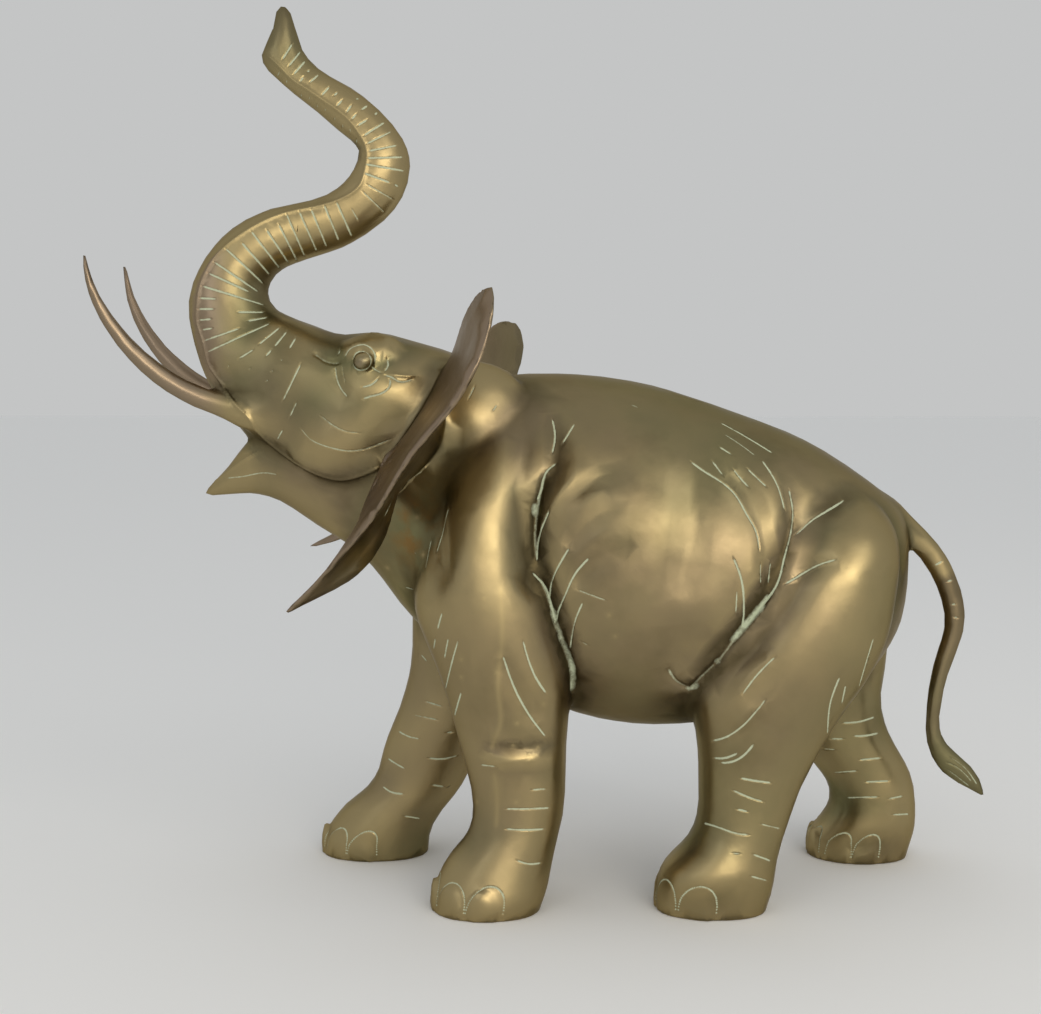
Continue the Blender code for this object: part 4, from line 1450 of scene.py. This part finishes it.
@dataclass
class Elephant:
    """The figurine: one casting with its chased lines and patina.

    Args:
        metal: Its material.
        camera: The camera whose rays place the lines of the photograph.
        legs: The four legs.
        ears: The two ears.
        coarse: Voxel of the melted masses, as in the cast solid.
        fine: Voxel of the finished skin.
        faces: Triangles of the finished piece.
        seed: Seed of everything random.
    """

    metal: bpy.types.Material
    camera: PhotoCamera
    legs: tuple[Leg, ...]
    ears: tuple[Ear, ...]
    coarse: float = 1.9
    fine: float = 0.7
    faces: int = 190000
    seed: int = 11

    def masses(self) -> Skin:
        """The body, head and legs, melted into one skin with the large folds pressed in."""
        shells = [
            upright_loft(TORSO, 4.0, 56, 2.2),
            upright_loft(HEAD + TRUNK, 2.5, 40, 2.6),
            upright_loft(JAW, 3.0, 32, 2.2),
        ]
        shells += [leg.shell() for leg in self.legs]
        for side in (LEFT, RIGHT):
            shells += [ball(centre, radii, side) for centre, radii in (BROW, CHEEK, NECK)]
        body = Skin.of("elephant_cast", shells)
        limbs = SweptShape(24, self.metal)
        for side in (LEFT, RIGHT):
            body.take(limbs.sweep("tusk_root", TUSK[:5], side))
        body.take(limbs.sweep("tail_root", TAIL[:5], RIGHT))
        body.settle("REMESH", mode="VOXEL", voxel_size=self.coarse * MM, adaptivity=0.0)
        body.relax(self.softness, 8)
        self.soften_throat(body)
        body.relax(self.near_neck, 45)
        for side in (LEFT, RIGHT):
            self.press_folds(body, side)
        body.relax(self.softness, 1)
        return body

    def near_ear_roots(self, points: np.ndarray) -> np.ndarray:
        """How near places are to where the ears grow out of the head, 0 to 1."""
        roots = [Ear.edge(ear.root, np.linspace(0, 1, 40)) * (1, ear.side, 1) for ear in self.ears]
        marks = np.concatenate(roots)
        search = search_tree(marks)
        weight = np.zeros(len(points))
        for index in close_to(points, marks, 9.0):
            weight[index] = min(max((9.0 - search.find(points[index])[2]) / 4.0, 0.0), 1.0)
        return weight

    @staticmethod
    def near_neck(points: np.ndarray) -> np.ndarray:
        """How near places are to the valley between head and shoulders, 0 to 1."""
        x, y, z = points.T
        away = np.sqrt(((x + 24) / 26) ** 2 + ((np.abs(y) - 34) / 26) ** 2 + ((z - 184) / 30) ** 2)
        return np.clip((1.25 - away) / 0.5, 0, 1)

    @staticmethod
    def softness(points: np.ndarray) -> np.ndarray:
        """How freely the skin may be smoothed: the trunk keeps its size."""
        trunk = np.clip((points[:, 2] - 226) / 20, 0, 1) * (points[:, 0] < -40)
        return 1 - 0.75 * trunk

    @staticmethod
    def soften_throat(body: Skin) -> None:
        """Round the cheek and the valley between it and the lower jaw."""
        average = body.averager()
        points = body.points()
        x, y, z = points.T
        weight = np.clip((204 - z) / 8, 0, 1) * np.clip((z - 146 + 0.4 * (x + 84)) / 6, 0, 1)
        weight *= np.clip((-x - 40) / 10, 0, 1) * np.clip((x + 120) / 8, 0, 1)
        weight *= np.clip((np.abs(y) - 6) / 6, 0, 1)
        for turn in range(40):
            points = points + 0.6 * weight[:, None] * (average(points) - points)
        body.move(points)

    @staticmethod
    def press_folds(body: Skin, side: int) -> None:
        """Press the large folds into one flank."""
        tree = body.tree()
        points, normals = body.points(), body.normals()
        moved = points.copy()
        for half, depth, line in FOLDS:
            lifted = np.array([
                tree.ray_cast(Vector((x, side * 200, z)) * MM, Vector((0, -side, 0)))[0]
                for x, z in spline(line, 3.0)
            ]) / MM
            for turn in range(6):
                lifted[1:-1, 1] = (lifted[:-2, 1] + lifted[1:-1, 1] + lifted[2:, 1]) / 3
            best = np.full(len(points), np.inf)
            share = np.zeros(len(points))
            for k in range(len(lifted) - 1):
                step = lifted[k + 1] - lifted[k]
                along = np.clip((points - lifted[k]) @ step / (step @ step), 0, 1)
                gap = np.linalg.norm(points - lifted[k] - along[:, None] * step, axis=1)
                closer = gap < best
                best[closer] = gap[closer]
                share[closer] = (k + along[closer]) / (len(lifted) - 1)
            fade = np.sin(math.pi * share) ** 0.7
            facing = np.clip(normals[:, 1] * side * 2, 0, 1)
            moved -= normals * (depth * np.exp(-(best / half) ** 2) * fade * facing)[:, None]
        body.move(moved)

    def relief(self, body: Skin) -> list[tuple[np.ndarray, np.ndarray]]:
        """Measure hollows and swellings of the melted masses at two sizes.

        Args:
            body: The melted masses.

        Returns:
            The places, and for each place how hollow it is, negative where it swells.
        """
        average = body.averager()
        points, normals = body.points(), body.normals()
        smooth = points.copy()
        depths = []
        for turn in range(60):
            smooth += 0.6 * (average(smooth) - smooth)
            if turn in (9, 59):
                depths.append(np.einsum("ij,ij->i", smooth - points, normals))
        return [(points, depths[0] * 3.0 + depths[1])]

    def build(self) -> Skin:
        """Make the finished piece.

        Returns:
            The piece, with its attributes and material.
        """
        body = self.masses()
        places, hollowness_for_patina_and_shade = self.relief(body)[0]
        body.settle("SUBSURF", levels=1, render_levels=1)
        limbs = SweptShape(28, self.metal)
        for side in (LEFT, RIGHT):
            body.take(limbs.sweep("tusk", TUSK[2:], side))
            centre, radii = EYEBALL
            body.take(Skin.of("eye", [ball(centre, radii, side)]))
        body.take(limbs.sweep("tail", TAIL[2:], RIGHT))
        body.take(Skin.of("nails", [nail for leg in self.legs for nail in leg.nails()]))
        body.take(Skin.of("ears", [ear.shell(2.0) for ear in self.ears]))
        body.settle("REMESH", mode="VOXEL", voxel_size=self.fine * MM, adaptivity=0.0)
        logging.info("remeshed: %d faces", len(body.piece.data.polygons))
        body.relax(lambda points: np.ones(len(points)), 3)
        body.relax(self.near_ear_roots, 12)
        chaser = self.chase(body)
        self.thin(body, chaser)
        self.stain(body, chaser, places, hollowness_for_patina_and_shade)
        body.piece.name = "elephant_cast"
        body.piece.data.materials.clear()
        body.piece.data.materials.append(self.metal)
        return body

    def lines(self, body: Skin) -> dict[Cut, list[np.ndarray]]:
        """Carry every line onto the skin.

        Args:
            body: The skin.

        Returns:
            For each tool, the runs that it cuts.
        """
        random = np.random.default_rng(self.seed)
        tree = body.tree()
        both = (TRUNK_LINES, HEAD_LINES, FLANK_LINES)
        found: dict[Cut, list[np.ndarray]] = {}
        for kind in Cut:
            runs = []
            for lines in both + (NEAR_LEG_LINES, STAIN_LINES, FAR_LEG_LINES, TAIL_LINES):
                for line in lines.get(kind, ()):
                    runs += from_photo(self.camera, line, LEFT, tree)
                    if lines in both:
                        runs += from_photo(self.camera, line, RIGHT, tree)
            if kind is Cut.CHASED:
                for leg in self.legs:
                    for rays in leg.ring_lines(random) + leg.nail_lines():
                        runs += onto(rays, tree)
            found[kind] = runs
            logging.info("%s: %d runs", kind.name.lower(), len(runs))
        return found

    def chase(self, body: Skin) -> Chaser:
        """Split the faces near the lines, and cut all lines into the skin."""
        found = self.lines(body)
        narrow = [run[:, :3] for kind, runs in found.items() if kind.value.half < 2 for run in runs]
        body.refine(np.concatenate(narrow), 1.3)
        logging.info("refined: %d faces", len(body.piece.data.polygons))
        chaser = Chaser(body)
        for kind in Cut:
            chaser.cut(kind, found[kind])
        return chaser

    def thin(self, body: Skin, chaser: Chaser) -> None:
        """Leave fine faces only where there is detail, and carry the deposit along.

        Args:
            body: The skin.
            chaser: What was cut into it.
        """
        for name, amount in chaser.layers.items():
            body.paint(name, amount)
        group = body.piece.vertex_groups.new(name="plain")
        plain = 1 - chaser.detail
        for level in np.linspace(0, 1, 11):
            members = np.flatnonzero(np.abs(plain - level) <= 0.05)
            if level > 0 and len(members):
                group.add(members.tolist(), float(level), "REPLACE")
        fine_points, fine_normals = body.points(), chaser.shading()
        body.settle("TRIANGULATE")
        body.settle(
            "DECIMATE", ratio=self.faces / len(body.piece.data.polygons),
            vertex_group="plain", vertex_group_factor=0.008,
        )
        body.piece.vertex_groups.clear()
        body.cut_level()
        search = search_tree(fine_points)
        points, normals = body.points(), body.normals()
        for index, point in enumerate(points):
            _, k, gap = search.find(point)
            if gap < 0.7 and point[2] > 0.3:
                normals[index] = fine_normals[k]
        body.piece.data.shade_smooth()
        body.piece.data.normals_split_custom_set_from_vertices(normals.tolist())

    def stain(self, body: Skin, chaser: Chaser, places: np.ndarray, hollowness_for_patina_and_shade: np.ndarray) -> None:
        """Paint where the patina differs, and paint shade into the hollows and onto the undersides.

        Args:
            body: The thinned skin.
            chaser: What was cut into it.
            places: Places where the masses were measured.
            hollowness_for_patina_and_shade: How hollow they are; this sets the dark patina and the painted shade.
        """
        points, normals = body.points(), body.normals()
        search = KDTree(len(places))
        for k, place in enumerate(places):
            search.insert(place, k)
        search.balance()
        near = [search.find(point) for point in points]
        index = np.array([k for _, k, _ in near])
        away = np.array([gap for _, _, gap in near])
        own = np.clip(1 - (away - 2.5) / 1.5, 0, 1)
        depth = hollowness_for_patina_and_shade[index] * own
        # Painted shade on faces that point downwards, added to the hollows' dark patina and painted shade.
        under = np.clip(-normals[:, 2] - 0.15, 0, 1) * (np.abs(points[:, 1]) < 60) * own
        x, y, z = points.T
        body.paint("hollowness_for_patina_and_shade", np.clip(depth / 3.4 + 0.5 * under, 0, 1))
        body.paint("worn", np.clip(-depth / 2.4, 0, 1) * np.clip((348 - z) / 20, 0.1, 1))
        ear = (1 - own) * (z > 100) * (x > -125) * (x < 0) * (np.abs(y) > 36)
        tusk = np.clip((-x - 126) / 8, 0, 1) * (z < 262) * (z > 188) * (np.abs(y) > 13)
        front = np.clip(-normals[:, 0] * 3 + 0.3, 0, 1)
        body.paint("blush", np.clip(ear * (0.35 + 0.6 * front) + tusk * 0.8, 0, 1))
        belly = ((x - 24) / 30) ** 2 + ((z - 106) / 21) ** 2
        body.paint("heat", np.exp(-belly * 1.2))
        chest = ((x + 48) / 12) ** 2 + ((z - 150) / 16) ** 2 + ((np.abs(y) - 35) / 25) ** 2
        body.paint("rub", np.exp(-chest))


@dataclass(frozen=True)
class Lamp:
    """Soft lamp that looks at the middle of the object.

    Args:
        name: Name of the lamp.
        azimuth: Direction from the object, in degrees to the right of the camera.
        elevation: Degrees above the horizon.
        distance: Metres from the object.
        width: Width in metres.
        height: Height in metres.
        glow: Brightness of its face.
        tint: Its colour.
    """

    name: str
    azimuth: float
    elevation: float
    distance: float
    width: float
    height: float
    glow: float
    tint: str

    def build(self) -> None:
        """Make the lamp."""
        data = bpy.data.lights.new(self.name, "AREA")
        data.shape = "RECTANGLE"
        data.size = self.width
        data.size_y = self.height
        data.energy = self.glow * math.pi * self.width * self.height
        data.color = colour(self.tint)[:3]
        turn, rise = math.radians(self.azimuth), math.radians(self.elevation)
        out = Vector((math.sin(turn) * math.cos(rise), -math.cos(turn) * math.cos(rise), math.sin(rise)))
        lamp = bpy.data.objects.new(self.name, data)
        lamp.location = Vector((0, 0, 0.16)) + out * self.distance
        lamp.rotation_mode = "QUATERNION"
        lamp.rotation_quaternion = (-out).to_track_quat("-Z", "Y")
        bpy.context.scene.collection.objects.link(lamp)


@dataclass(frozen=True)
class Studio:
    """Pale floor and soft light.

    Args:
        paper: Colour of the floor.
        backdrop: Colour of what is seen behind the object.
        room: Colour of the light from all round.
        strength: Brightness of that light.
        lamps: The lamps.
    """

    paper: str = "f4f4f2"
    backdrop: str = "c4c5c5"
    room: str = "fbfdff"
    strength: float = 0.61
    lamps: tuple[Lamp, ...] = (
        Lamp("key_strip", 13, 14, 1.6, 0.95, 0.36, 6.0, "fff6e8"),
        Lamp("side_softbox", 38, 30, 1.7, 0.8, 0.8, 1.6, "fffaf2"),
        Lamp("fill_softbox", -30, 24, 1.7, 0.6, 0.6, 1.0, "f8faff"),
    )

    def build(self) -> None:
        """Make the floor, the lamps and the world."""
        mesh = bpy.data.meshes.new("studio_floor")
        half = 12.0
        corners = [(-half, -half), (half, -half), (half, half), (-half, half)]
        mesh.from_pydata([(x, y, -0.0003) for x, y in corners], [], [(0, 1, 2, 3)])
        floor = bpy.data.objects.new("studio_floor", mesh)
        bpy.context.scene.collection.objects.link(floor)
        paper = bpy.data.materials.new("matt_paper")
        paper.use_nodes = True
        shader = paper.node_tree.nodes["Principled BSDF"]
        shader.inputs["Base Color"].default_value = colour(self.paper)
        shader.inputs["Roughness"].default_value = 0.95
        floor.data.materials.append(paper)
        for lamp in self.lamps:
            lamp.build()
        world = bpy.data.worlds.new("studio_world")
        world.use_nodes = True
        bpy.context.scene.world = world
        tree = world.node_tree
        tree.nodes.clear()
        seen = add_node(tree, "ShaderNodeBackground", values={"Color": colour(self.backdrop), "Strength": 1.0})
        light = add_node(
            tree, "ShaderNodeBackground", values={"Color": colour(self.room), "Strength": self.strength}
        )
        path = add_node(tree, "ShaderNodeLightPath")
        mix = add_node(tree, "ShaderNodeMixShader", links={
            0: path.outputs["Is Camera Ray"], 1: light.outputs["Background"], 2: seen.outputs["Background"],
        })
        add_node(tree, "ShaderNodeOutputWorld", links={"Surface": mix.outputs["Shader"]})
        bpy.context.scene.view_settings.view_transform = "Standard"


def main() -> None:
    """Build the object and its studio."""
    logging.basicConfig(level=logging.INFO, format="%(message)s")
    camera = PhotoCamera()
    camera.build()
    metal = AgedBrass().build()
    elephant = Elephant(metal, camera, LEGS, EARS)
    body = elephant.build()
    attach(body.piece, "root")
    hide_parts("elephant")
    logging.info("elephant_cast: %d triangles", len(body.piece.data.polygons))
    Studio().build()


if __name__ == "__main__":
    main()
